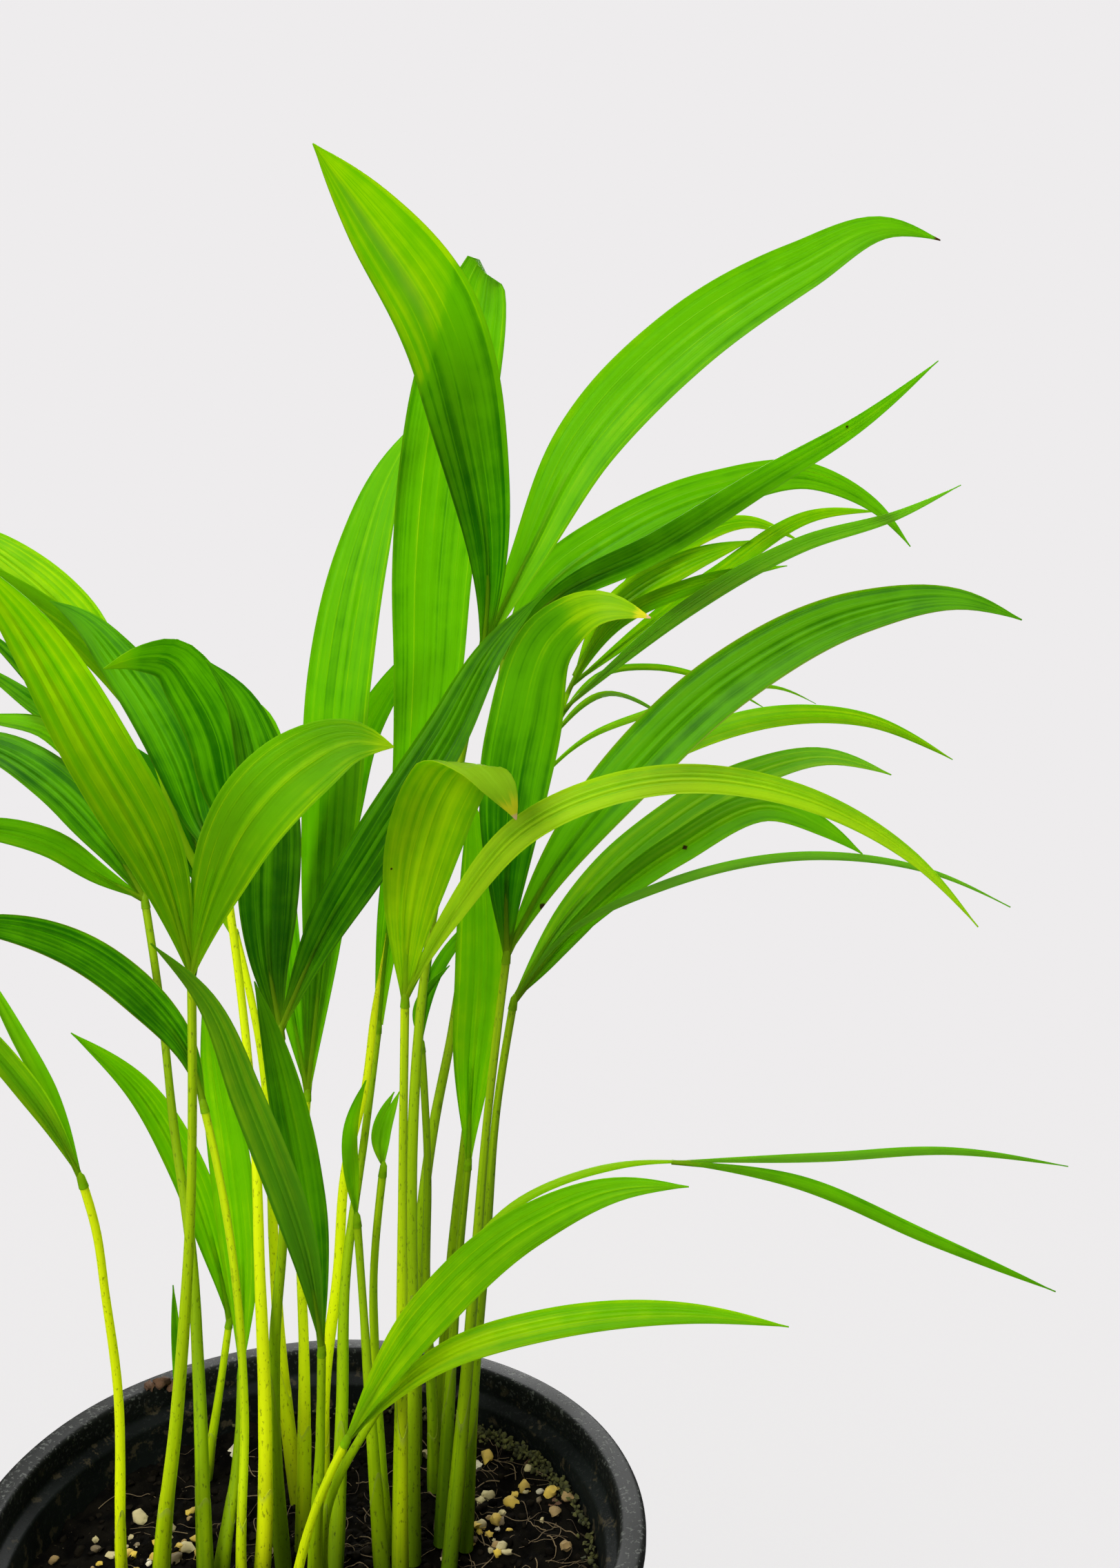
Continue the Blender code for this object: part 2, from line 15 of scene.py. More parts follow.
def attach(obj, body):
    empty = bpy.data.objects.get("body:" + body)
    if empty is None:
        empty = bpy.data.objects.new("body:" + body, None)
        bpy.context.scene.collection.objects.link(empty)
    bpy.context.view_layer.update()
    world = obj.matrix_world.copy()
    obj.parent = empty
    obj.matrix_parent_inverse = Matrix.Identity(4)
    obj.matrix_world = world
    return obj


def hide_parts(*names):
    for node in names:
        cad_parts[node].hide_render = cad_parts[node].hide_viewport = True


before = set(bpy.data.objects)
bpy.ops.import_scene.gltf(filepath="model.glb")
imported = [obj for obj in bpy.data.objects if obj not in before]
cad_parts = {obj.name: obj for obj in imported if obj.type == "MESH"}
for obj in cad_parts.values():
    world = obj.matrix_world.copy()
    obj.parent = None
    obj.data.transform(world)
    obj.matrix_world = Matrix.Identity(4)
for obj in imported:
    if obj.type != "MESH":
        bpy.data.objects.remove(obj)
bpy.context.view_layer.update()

MM = 0.001

# ---- sizes shared with the solids -------------------------------------------------------------
RIM_RADIUS = 85 * MM
POT_HEIGHT = 150 * MM
WALL = 1.8 * MM
BASE_RADIUS = 58 * MM
BASE_EDGE = 2.0 * MM
COLLAR_HEIGHT = 11 * MM
COLLAR_STEP = 4.5 * MM
LIP_WIDTH = 6.5 * MM
LIP_DEPTH = 4.0 * MM
SOIL_TOP = 132 * MM
FOOT_RADIUS = 2.1
PETIOLE_RADIUS = 1.05
KEEL = 0.14

FRONT = (0, -1, 0.1)
STEM_FACES = (0.35, -1, 0.2)


def blade(*points, wide, faces=FRONT, twist=0, twist_from=0.0, widest=0.42, on=0.0):
    """One leaflet. It leaves its frond's stalk at the share `on` of the stalk and passes
    through the points. `wide` is its greatest width in mm, reached at the share `widest` of its
    length. `faces` is the way its upper side looks where it starts, and from the share
    `twist_from` on it turns by `twist` degrees up to its tip."""
    return dict(points=points, wide=wide, faces=faces, twist=twist,
                twist_from=twist_from, widest=widest, on=on)

# Each frond: its stem's way up from the soil, the stalk that carries its leaflets where that
# is longer than a bare fork, its foot's share of FOOT_RADIUS, and its leaflets.
FRONDS = {
    "low_front": dict(
        stem=[(-6, -22, 0), (-3, -24, 21), (2, -27, 40), (9, -31, 58)],
        thick=0.7,
        blades=[
            blade((27, -40, 92), (49, -48, 116), (68, -56, 127), (81, -62, 129),
                  wide=10.5, faces=(-0.5, -1, 0.5)),
            blade((32, -36, 80), (55, -42, 89), (85, -50, 93), (106, -56, 91),
                  wide=7, faces=(-0.2, -1, 0.8)),
        ],
    ),
    "low_feather": dict(
        stem=[(3, -10, 0), (4, -12, 26), (19, -20, 62), (32, -27, 90)],
        stalk=[(50, -33, 115), (72, -36, 123), (88, -37, 123)],
        thick=0.6,
        blades=[
            blade((120, -38, 122), (150, -40, 122), (177, -44, 118),
                  wide=2.6, faces=(0, -0.6, 1), on=1),
            blade((111, -43, 119), (140, -52, 107), (166, -62, 97), wide=3.6, faces=(0, -1, 1), on=1),
        ],
    ),
    "crossing_pair": dict(
        stem=[(1, -15, 0), (1, -16, 16), (3, -22, 51), (4, -27, 79)],
        blades=[
            blade((1, -36, 107), (-10, -44, 148), (-18, -50, 173), (-27, -56, 186),
                  wide=7.5, faces=(0.2, -1, 0.2)),
            blade((2, -27, 108), (-2, -28, 140), (-5, -28, 156), (-8, -27, 168),
                  wide=9.5, faces=(0.3, -1, 0)),
        ],
    ),
    "left_pair": dict(
        stem=[(-37, -8, 0), (-36, -9, 15), (-30, -15, 59), (-24, -24, 115), (-21, -32, 171)],
        blades=[
            blade((-15, -35, 191), (-7, -38, 207), (4, -41, 218), (14, -44, 223), (22, -46, 222),
                  wide=17, faces=(-0.4, -1, 0.5), widest=0.58),
            blade((-26, -35, 196), (-37, -42, 223), (-47, -52, 247), (-56, -64, 263),
                  wide=14, faces=(0.3, -1, 0.1)),
        ],
    ),
    "hood_pair": dict(
        stem=[(22, -9, 0), (22, -10, 8), (23, -14, 62), (24, -18, 117), (25, -22, 160)],
        blades=[
            blade((27, -25, 186), (30, -28, 200), (33, -31, 209), (37, -37, 216), (41, -43, 216.5),
                  (44, -46, 213), (47, -46, 206),
                  wide=17, faces=(-0.2, -1, 0), widest=0.55, twist=105, twist_from=0.68),
            blade((35, -27, 180), (51, -33, 201), (78, -40, 212), (108, -48, 209), (130, -55, 197),
                  (144, -60, 182), wide=7, faces=(-0.4, -1, 0.6), widest=0.3),
        ],
    ),
    "broad_right_pair": dict(
        stem=[(35, -2, 0), (36, -2, 10), (39, -3, 44), (42, -5, 82), (45, -7, 121), (50, -9, 165)],
        blades=[
            blade((50, -10, 183), (54, -12, 219), (60, -18, 241), (69, -26, 248), (79, -30, 246),
                  wide=17, faces=(-0.3, -1, 0), twist=-50, twist_from=0.5, widest=0.5),
            blade((62, -11, 188), (79, -14, 210), (101, -18, 231), (129, -24, 246), (150, -32, 249),
                  (161, -38, 245), wide=14, faces=(-0.4, -1, 0.4), widest=0.4),
        ],
    ),
    "split_right": dict(
        stem=[(40, 5, 0), (42, 5, 39), (46, 3, 87), (49, 2, 124), (53, 1, 150)],
        blades=[
            blade((68, 4, 172), (90, 6, 191), (112, 4, 204), (130, -1, 209), (145, -6, 205),
                  wide=9, faces=(-0.4, -1, 0.5)),
            blade((70, 0, 170), (92, -4, 188), (114, -10, 199), (126, -16, 194), (133, -20, 189),
                  wide=8, faces=(-0.2, -1, 0.6), widest=0.6),
            blade((65, -4, 168), (86, -12, 181), (122, -20, 189), (147, -28, 186), (163, -36, 179),
                  wide=2.6, faces=(0, -0.5, 1)),
            blade((65, 6, 161), (79, 14, 169), wide=3.5, faces=(-0.3, -1, 0.6)),
        ],
    ),
    "young_fan": dict(
        stem=[(34, 8, 0), (37, 8, 47), (40, 7, 86), (42, 6, 107)],
        blades=[
            blade((43, 5, 131), (45, 4, 159), (45, 5, 185), (44, 8, 201),
                  wide=13, faces=(0.2, -1, 0), widest=0.5),
        ],
    ),
    "dark_pair": dict(
        stem=[(-7, 6, 0), (-8, 5, 25), (-7, 4, 66), (-4, 0, 96), (-3, -4, 130), (-3, -5, 148)],
        blades=[
            blade((8, -6, 173), (21, -7, 194), (36, -7, 217), (49, -6, 239), (60, -4, 250),
                  wide=12, faces=(-0.3, -1, 0.1)),
            blade((-5, -3, 164), (-5, -1, 178), (-4, 1, 198), (-6, 3, 214), (-10, 4, 226),
                  (-17, 4, 235), wide=14.5, faces=(0.2, -1, 0)),
        ],
    ),
    "tall_pair": dict(
        stem=[(26, 2, 0), (27, 2, 71), (28, 3, 116), (31, 5, 151), (39, 8, 196), (47, 8, 235)],
        blades=[
            blade((48, 4, 251), (43, -6, 284), (33.5, -21, 310.5), (20, -35, 326.5), (9, -48, 337),
                  wide=19, faces=(0.3, -1, -0.2), widest=0.55),
            blade((58, 9, 257), (72, 10, 283), (96, 12, 307), (125, 14, 325), (148, 16, 335),
                  (161, 16, 332.5), wide=16.5, faces=(-0.3, -1, 0.2), widest=0.45),
        ],
    ),
    "folded_tall": dict(
        stem=[(6, 2, 0), (9, 6, 42), (11, 9, 78), (17, 14, 114), (21, 18, 140)],
        blades=[
            blade((25, 21, 169), (32, 24, 199), (35.5, 26, 228), (37, 27, 253), (40, 28.5, 278),
                  (44.5, 30, 301), (49, 31, 317), (51.5, 33.5, 325), (53, 37.5, 324), (54, 40, 317),
                  wide=21.5, faces=(0.1, -1, 0), widest=0.74),
        ],
    ),
    "hidden_tall": dict(
        stem=[(-2, 12, 0), (0, 16, 56), (0, 20, 83), (3, 26, 120)],
        blades=[
            blade((7, 29, 150), (11, 32, 189), (14.5, 34.5, 226), (21, 37, 257), (28, 39, 276.5),
                  (38, 42, 292), wide=16.5, faces=(-0.3, -1, 0.1), widest=0.55),
            blade((14, 38, 190), (22, 43, 214), (32, 45, 228), (48, 48, 240),
                  wide=10, faces=(-0.2, -1, 0.2)),
            blade((-3, 33, 180), (-2, 36, 205), (-6, 39, 218), (-16, 42, 223),
                  wide=9, faces=(0.1, -1, 0.3)),
        ],
    ),
    "back_right_pair": dict(
        stem=[(30, 44, 0), (31, 44, 37), (33, 46, 71), (37, 47, 99), (43, 48, 128), (50, 50, 174),
              (59, 54, 230)],
        blades=[
            blade((70, 57, 246), (92, 62, 261), (120, 68, 272), (149, 71, 276), (166, 67, 268),
                  (175, 61, 257), wide=14, faces=(-0.2, -1, 0.4), widest=0.22),
            blade((71, 50, 244), (98, 46, 258), (126, 44, 275), (153, 42, 291), (172, 40, 306),
                  wide=8, faces=(-0.2, -1, -0.2), widest=0.3),
        ],
    ),
    "back_feather": dict(
        stem=[(38, 53, 0), (43, 55, 60), (48, 55, 102), (52, 56, 133), (62, 60, 175)],
        stalk=[(74, 66, 207), (84, 72, 227)],
        blades=[
            blade((96, 80, 242), (118, 88, 258), (139, 96, 263), (156, 100, 257), wide=6, on=1),
            blade((92, 76, 238), (116, 82, 252), (136, 86, 258), wide=8.5, on=0.95),
            blade((124, 81, 248), (156, 90, 265), (179, 96, 266), wide=5.5, on=0.9),
            blade((92, 69, 236), (115, 73, 246), (145, 79, 251), wide=5, on=0.85),
            blade((87, 66, 221), (112, 63, 241), (143, 60, 258), (170, 58, 266), (187, 56, 274),
                  wide=5, on=0.75),
            blade((90, 71, 222), (104, 73, 223), (121, 73, 219), (138, 71, 210),
                  wide=2.6, faces=(0, -0.5, 1), on=0.65),
            blade((93, 78, 215), (107, 82, 209), (118, 86, 198), wide=2.6, faces=(0, -0.5, 1), on=0.6),
            blade((84, 60, 206), (99, 58, 212), (121, 58, 218), (137, 60, 218), (149, 62, 213),
                  wide=2.8, faces=(0, -0.5, 1), on=0.4),
            blade((87, 54, 191), (106, 52, 203), (133, 50, 211), (158, 48, 210), (183, 44, 199),
                  wide=8.5, faces=(0, -0.8, 1), on=0.2, widest=0.5),
        ],
    ),
    "folded_left": dict(
        stem=[(-13, -4, 0), (-12, -4, 8), (-10, -2, 49), (-10, 0, 85), (-10, 3, 119), (-12, 8, 152),
              (-15, 12, 184)],
        blades=[
            blade((-12, 12, 196), (-13, 12, 204), (-15, 11, 217), (-20, 10, 228), (-25, 8, 235),
                  (-31, 4, 236), (-39, -1, 234), wide=15, faces=(0.1, -1, 0), widest=0.4),
            blade((-20, 18, 193), (-25, 20, 210), (-32, 23, 224), (-39, 26, 234), (-46, 29, 242),
                  (-54, 31, 247), wide=12.5, faces=(0.2, -1, 0.2)),
        ],
    ),
    "left_feather": dict(
        stem=[(-3, 32, 0), (-6, 32, 41), (-7, 32, 77), (-7, 32, 108), (-9, 32, 135), (-14, 33, 163)],
        stalk=[(-26, 35, 187), (-33, 36, 211), (-39, 38, 224)],
        blades=[
            blade((-50, 43, 243), (-67, 48, 258), (-82, 54, 266), wide=11, faces=(0.3, -1, 0.3), on=1),
            blade((-46, 35, 235), (-65, 32, 251), (-82, 30, 262),
                  wide=7.5, faces=(0.3, -1, 0.3), on=0.9),
            blade((-39, 44, 201), (-47, 46, 210), (-57, 48, 221), (-70, 52, 235), (-78, 54, 242),
                  wide=5.5, faces=(0.3, -1, 0.3), on=0.42),
            blade((-25, 38, 190), (-34, 40, 203), (-45, 42, 210), (-61, 46, 220), (-69, 48, 226),
                  (-78, 50, 232), wide=7, faces=(0.3, -1, 0.3), on=0.25),
            blade((-27, 37, 184), (-38, 38, 199), (-51, 40, 209), (-59, 41, 215), (-69, 42, 217),
                  (-79, 43, 218), wide=7.5, faces=(0.3, -1, 0.4), on=0.12),
        ],
    ),
    "left_fan": dict(
        stem=[(-26, -3, 0), (-26, -3, 9), (-26, 5, 55), (-27, 12, 89), (-30, 18, 116), (-32, 22, 145),
              (-35, 26, 173)],
        blades=[
            blade((-43, 28, 188), (-56, 32, 203), (-69, 36, 211), (-84, 40, 214),
                  wide=11.5, faces=(0.3, -1, 0.4)),
            blade((-44, 24, 180), (-56, 20, 190), (-69, 16, 195), (-83, 10, 196),
                  wide=7, faces=(0.3, -1, 0.6)),
        ],
    ),
    "low_left": dict(
        stem=[(-17, -8, 0), (-17, -8, 12), (-15, -2, 49), (-16, 3, 83), (-19, 6, 109), (-22, 8, 126)],
        thick=0.6,
        blades=[
            blade((-25, 10, 138), (-36, 11, 154), (-51, 10, 167), (-66, 6, 174), (-81, 2, 176),
                  wide=9.5, faces=(0.3, -1, 0.5)),
        ],
    ),
    "back_low_left": dict(
        stem=[(-28, 47, 0), (-27, 47, 7), (-24, 46, 24), (-20, 45, 48)],
        thick=0.7,
        blades=[
            blade((-22, 43, 66), (-29, 40, 96), (-40, 36, 121), (-55, 30, 139),
                  wide=9.5, faces=(0.3, -1, 0.2)),
        ],
    ),
    "upright_broad": dict(
        stem=[(-23, 2, 0), (-22, 2, 7), (-18, 8, 28), (-16, 14, 51)],
        blades=[
            blade((-15, 20, 74), (-17, 24, 105), (-20, 27, 130), (-22, 30, 149),
                  wide=11, faces=(-0.2, -1, 0)),
        ],
    ),
    "far_left_pair": dict(
        stem=[(-46, -4, 0), (-46, -4, 13), (-44, -8, 65), (-45, -12, 89), (-46, -15, 108),
              (-48, -17, 120)],
        thick=0.7,
        blades=[
            blade((-54, -19, 136), (-63, -24, 154), (-71, -30, 168), (-76, -36, 178),
                  wide=5.5, faces=(0.5, -1, 0.2)),
            blade((-55, -13, 141), (-62, -8, 154), (-70, -2, 169), wide=4, faces=(0.6, -1, 0)),
        ],
    ),
    "narrow_upright": dict(
        stem=[(18, -1, 0), (17, 0, 20), (16, 1, 44), (15, 3, 71), (14, 4, 95)],
        blades=[
            blade((13, 4, 106), (13, 4, 120), (17, 3, 132), wide=4, faces=(0.2, -1, 0)),
        ],
    ),
    "spear": dict(
        stem=[(4, 16, 0), (5, 14, 47), (9, 12, 76), (12, 11, 107), (17, 10, 127), (20, 10, 148),
              (23, 9, 167)],
        blades=[],
    ),
    "small_feather": dict(
        stem=[(34, 29, 0), (34, 29, 24), (33, 30, 65), (34, 31, 94), (33, 32, 129)],
        thick=0.8,
        blades=[
            blade((36, 35, 145), (53, 38, 166), wide=3.6),
            blade((32, 30, 140), (40, 25, 153), wide=2.6),
            blade((34, 35, 143), (38, 39, 163), wide=2.6),
        ],
    ),
    "small_sprig": dict(
        stem=[(20, 7, 0), (18, 8, 49), (18, 9, 77), (21, 10, 105)],
        thick=0.8,
        blades=[
            blade((22, 13, 114), (26, 17, 123), wide=2.8),
            blade((20, 16, 112), (25, 22, 121), wide=2.8),
        ],
    ),
    "sprout": dict(
        stem=[(-37, 10, 0), (-34, 8, 26), (-32, 7, 40)],
        thick=0.6,
        blades=[
            blade((-31, 6, 55), (-31, 5, 69), (-31, 4, 82), wide=2.6),
        ],
    ),
}


# ---- how each leaflet looks -------------------------------------------------------------------
# Tones run from deep green at 0 to lime at 1, and shares from a leaflet's foot to its tip.
# tone, low: the leaflet's tone and the tone of its foot
# bloom: a pale grey-green cast painted on as sheen; edge: how pale its rim is
# tip, brown_tip: the share, from the tip, that has turned yellow or brown
# folded: the share beyond which its paler underside has turned up
# spot: a brown spot's share along, its share across and its size in mm
# shade: the share where another leaf's shade ends, its slant across, and how deep it is
# sheen: a bright band's place across (-1 to 1), where it begins and ends, and its strength
LEAFLETS = {
    "low_front": [dict(tone=0.48, low=0.7), dict(tone=0.56, low=0.85)],
    "low_feather": [dict(tone=0.5, bloom=0.2), dict(tone=0.42)],
    "crossing_pair": [dict(tone=0.66, low=0.45, bloom=0.15), dict(tone=0.35, low=0.2)],
    "left_pair": [dict(tone=0.54, folded=0.93), dict(tone=0.7, low=0.62)],
    "hood_pair": [dict(tone=0.76, tip=0.08, folded=0.76, spot=(0.36, 0.1, 0.5)),
                  dict(tone=0.82, low=0.92, bloom=0.14)],
    "broad_right_pair": [dict(tone=0.46, low=0.1, tip=0.05, folded=0.8),
                         dict(tone=0.36, low=0.42, spot=(0.1, 0.95, 1.2), edge=0.5)],
    "split_right": [dict(tone=0.66, bloom=0.35), dict(tone=0.5, spot=(0.55, 0.6, 1.0)),
                    dict(tone=0.5, bloom=0.3), dict(tone=0.5)],
    "young_fan": [dict(tone=0.56)],
    "dark_pair": [dict(tone=0.34, low=0.26), dict(tone=0.3, low=0.16)],
    "tall_pair": [dict(tone=0.72, low=0.42, shade=(0.62, 0.09, 0.26), sheen=(-0.25, 0.6, 0.96, 0.9)),
                  dict(tone=0.42, low=0.5, brown_tip=0.02)],
    "folded_tall": [dict(tone=0.42)],
    "hidden_tall": [dict(tone=0.48, low=0.36), dict(tone=0.45), dict(tone=0.45)],
    "back_right_pair": [dict(tone=0.46), dict(tone=0.46, low=0.3, spot=(0.78, 0.3, 1.0))],
    "back_feather": [dict(tone=0.7), dict(tone=0.65), dict(tone=0.7), dict(tone=0.6),
                     dict(tone=0.5, bloom=0.35), dict(tone=0.6), dict(tone=0.6), dict(tone=0.55),
                     dict(tone=0.6)],
    "folded_left": [dict(tone=0.28, low=0.16, folded=0.88), dict(tone=0.36, low=0.16)],
    "left_feather": [dict(tone=0.7), dict(tone=0.6), dict(tone=0.15), dict(tone=0.2, low=0.0),
                     dict(tone=0.4, low=0.0)],
    "left_fan": [dict(tone=0.26), dict(tone=0.45)],
    "low_left": [dict(tone=0.2, edge=0.6)],
    "back_low_left": [dict(tone=0.5)],
    "upright_broad": [dict(tone=0.52)],
    "far_left_pair": [dict(tone=0.6, bloom=0.1), dict(tone=0.55)],
    "narrow_upright": [dict(tone=0.5)],
    "small_feather": [dict(tone=0.35), dict(tone=0.35), dict(tone=0.3)],
    "small_sprig": [dict(tone=0.6), dict(tone=0.55)],
    "sprout": [dict(tone=0.3)],
}

YOUNG_LEAVES = {"left_pair", "hood_pair", "low_front", "upright_broad", "far_left_pair",
                "back_feather", "left_feather", "sprout", "small_sprig"}
DARK_LEAVES = {"dark_pair", "broad_right_pair", "left_fan", "low_left", "crossing_pair",
               "folded_left", "small_feather"}
YOUNG_STEMS = {"folded_left", "spear", "left_feather", "low_front", "low_left", "hidden_tall",
               "far_left_pair"}

# tone as for leaflets; sheath is how far up, in millimetres, the wrapping leaf base reaches, and
# pointed is the share, from its end, that thins to a point
STEMS = {
    "low_front": dict(tone=0.85, sheath=16),
    "low_feather": dict(tone=0.45, sheath=24),
    "crossing_pair": dict(tone=0.5, sheath=30),
    "left_pair": dict(tone=0.72, sheath=38),
    "hood_pair": dict(tone=0.75, sheath=52),
    "broad_right_pair": dict(tone=0.35, sheath=46),
    "split_right": dict(tone=0.35, sheath=34),
    "young_fan": dict(tone=0.3, sheath=40),
    "dark_pair": dict(tone=0.45, sheath=44),
    "tall_pair": dict(tone=0.55, sheath=60),
    "folded_tall": dict(tone=0.55, sheath=36),
    "hidden_tall": dict(tone=0.8, sheath=40),
    "back_right_pair": dict(tone=0.4, sheath=42),
    "back_feather": dict(tone=0.4, sheath=38),
    "folded_left": dict(tone=0.95, sheath=34),
    "left_feather": dict(tone=0.9, sheath=40),
    "left_fan": dict(tone=0.45, sheath=30),
    "low_left": dict(tone=0.75, sheath=26),
    "back_low_left": dict(tone=0.7, sheath=12),
    "upright_broad": dict(tone=0.6, sheath=18),
    "far_left_pair": dict(tone=0.85, sheath=22),
    "narrow_upright": dict(tone=0.5, sheath=24),
    "spear": dict(tone=0.95, sheath=30, pointed=0.16),
    "small_feather": dict(tone=0.4, sheath=22),
    "small_sprig": dict(tone=0.6, sheath=20),
    "sprout": dict(tone=0.3, sheath=8),
}


# ---- curves -------------------------------------------------------------------------------------
SPAN_STEPS = 24  # points worked out on each span of a smooth path


def unit(vectors):
    return vectors / np.linalg.norm(vectors, axis=-1, keepdims=True)


def walked(path):
    """The way from a path's start to each of its points."""
    return np.concatenate([[0], np.cumsum(np.linalg.norm(np.diff(path, axis=0), axis=1))])


def smooth_path(points, count):
    """Evenly spaced points on a smooth curve through the given ones."""
    points = np.array(points, float)
    spans = np.linalg.norm(np.diff(points, axis=0), axis=1)
    slopes = np.diff(points, axis=0) / spans[:, None]
    tangents = np.empty_like(points)
    tangents[0], tangents[-1] = slopes[0], slopes[-1]
    for i in range(1, len(points) - 1):
        before, after = spans[i - 1], spans[i]
        tangents[i] = (slopes[i - 1] * after + slopes[i] * before) / (before + after)
    if len(points) > 2:
        tangents[0] = 1.5 * slopes[0] - 0.5 * tangents[1]
        tangents[-1] = 1.5 * slopes[-1] - 0.5 * tangents[-2]
    t = (np.arange(SPAN_STEPS) / SPAN_STEPS)[:, None]
    fine = []
    for i, span in enumerate(spans):
        fine.append(
            (2 * t**3 - 3 * t**2 + 1) * points[i]
            + (t**3 - 2 * t**2 + t) * span * tangents[i]
            + (3 * t**2 - 2 * t**3) * points[i + 1]
            + (t**3 - t**2) * span * tangents[i + 1]
        )
    fine = np.vstack(fine + [points[-1:]])
    way = walked(fine)
    goals = np.linspace(0, way[-1], count)
    return np.stack([np.interp(goals, way, fine[:, k]) for k in range(3)], axis=1)


def directions(path):
    ahead = unit(np.diff(path, axis=0))
    return np.vstack([ahead[:1], unit(ahead[:-1] + ahead[1:]), ahead[-1:]])


def carried_normals(path, faces):
    """A normal for each point, turned no more than the path itself turns."""
    tangents = directions(path)
    normal = np.array(faces, float)
    normals = []
    for tangent in tangents:
        normal = unit(normal - normal.dot(tangent) * tangent)
        normals.append(normal)
    return tangents, np.array(normals)


def eased(x, low, high):
    """0 below low, 1 above high, and smooth between them."""
    t = np.clip((x - low) / (high - low), 0, 1)
    return t * t * (3 - 2 * t)


def wander(rng, x, waves, slowest):
    """A gentle seeded curve over x, about -1 to 1."""
    total = np.zeros_like(x)
    for k in range(waves):
        total = total + rng.uniform(0.4, 1) / (k + 1) * np.sin(
            2 * math.pi * (slowest * (k + 1) * rng.uniform(0.7, 1.3) * x + rng.random()))
    return total / 1.6


def place(points):
    """Plant points, in millimetres from the middle of the soil, in the pot's frame."""
    return np.array(points, float) * MM + np.array([0, 0, SOIL_TOP])


# ---- growing meshes -----------------------------------------------------------------------------
def ring_angles(sides):
    return 2 * math.pi * np.arange(sides) / sides


def ring_faces(rows, sides):
    """The faces of a skin over rows of rings, with a cap at each end."""
    faces = []
    for k in range(rows - 1):
        for i in range(sides):
            a, b = k * sides + i, k * sides + (i + 1) % sides
            faces.append((a, b, b + sides, a + sides))
    first_cap = tuple(range(sides))[::-1]
    last_cap = tuple((rows - 1) * sides + i for i in range(sides))
    return faces + [first_cap, last_cap]


def ring_map(angle, along):
    """Map places of rings: across goes from 0 to 1 and back around each, and along is given."""
    across = 0.5 - 0.5 * np.cos(angle)
    return np.stack([np.tile(across, len(along)), np.repeat(along, len(angle))], axis=1)


class Growth:
    """Gathers the grids and tubes of one piece, with their maps and paint, into one mesh."""

    def __init__(self):
        self.points, self.faces, self.maps = [], [], []
        self.paint = {}
        self.count = 0

    def add(self, points, faces, maps, **paint):
        """points (n, 3), faces lists of indices, maps (n, 2), and paint as one value or n."""
        n = len(points)
        for key in set(self.paint) | set(paint):
            if key not in self.paint:
                self.paint[key] = [np.zeros(self.count)]
            value = paint.get(key, 0.0)
            self.paint[key].append(np.broadcast_to(np.asarray(value, float), n))
        self.points.append(points)
        self.maps.append(maps)
        self.faces += [tuple(i + self.count for i in face) for face in faces]
        self.count += n

    def tube(self, path, radii, sides, along=None, **paint):
        """A closed round bar with one radius, and one value of each paint, for each point."""
        tangents, normals = carried_normals(path, STEM_FACES)
        angle = ring_angles(sides)
        spokes = (np.cos(angle)[None, :, None] * normals[:, None, :]
                  + np.sin(angle)[None, :, None] * np.cross(tangents, normals)[:, None, :])
        rings = path[:, None, :] + radii[:, None, None] * spokes
        rows = len(path)
        along = np.linspace(0, 1, rows) if along is None else along
        spread = {
            key: np.repeat(value, sides) if np.ndim(value) else value
            for key, value in paint.items()
        }
        self.add(rings.reshape(-1, 3), ring_faces(rows, sides), ring_map(angle, along), **spread)

    def sheet(self, upper, lower, across, along, **paint):
        """A thin closed sheet between two grids of points of the same shape."""
        rows, columns = upper.shape[:2]
        n = rows * columns
        made = []
        for r in range(rows - 1):
            for c in range(columns - 1):
                a, b = r * columns + c, r * columns + c + 1
                d, e = a + columns, b + columns
                made.append((a, b, e, d))
                made.append((n + a, n + d, n + e, n + b))
        for r in range(rows - 1):
            a, d = r * columns, (r + 1) * columns
            made.append((a, d, n + d, n + a))
            b, e = a + columns - 1, d + columns - 1
            made.append((b, n + b, n + e, e))
        for c in range(columns - 1):
            made.append((c, n + c, n + c + 1, c + 1))
            a = (rows - 1) * columns + c
            made.append((a, a + 1, n + a + 1, n + a))
        maps = np.stack([np.tile(across, rows), np.repeat(along, columns)], axis=1)
        spread = {}
        for key, value in paint.items():
            if np.ndim(value) == 2:
                value = np.concatenate([value.ravel()] * 2)
            elif np.ndim(value) == 1:
                value = np.concatenate([np.repeat(value, columns)] * 2)
            spread[key] = value
        under = np.concatenate([np.zeros(n), np.ones(n)])
        self.add(np.vstack([upper.reshape(-1, 3), lower.reshape(-1, 3)]), made,
                 np.vstack([maps, maps]), under=under, **spread)

    def object(self, name, look, smooth_angle=50):
        """The gathered mesh as an object; edges sharper than smooth_angle degrees stay crisp."""
        mesh = bpy.data.meshes.new(name)
        mesh.from_pydata(np.vstack(self.points).tolist(), [], self.faces)
        mesh.update()
        layer = mesh.uv_layers.new(name="grain_map")
        corners = np.empty(len(mesh.loops), int)
        mesh.loops.foreach_get("vertex_index", corners)
        layer.data.foreach_set("uv", np.vstack(self.maps)[corners].astype(np.float32).ravel())
        for key, values in self.paint.items():
            attribute = mesh.attributes.new(key, "FLOAT", "POINT")
            attribute.data.foreach_set("value", np.concatenate(values).astype(np.float32))
        mesh.shade_smooth()
        mesh.set_sharp_from_angle(angle=math.radians(smooth_angle))
        mesh.materials.append(look)
        made = bpy.data.objects.new(name, mesh)
        bpy.context.scene.collection.objects.link(made)
        return made


def dress(piece, slot_name, *nodes):
    """Ties a piece to the body and lets it stand for its solids, which it hides; slot_name is not used.
    """
    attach(piece, "root")
    if nodes:
        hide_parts(*nodes)


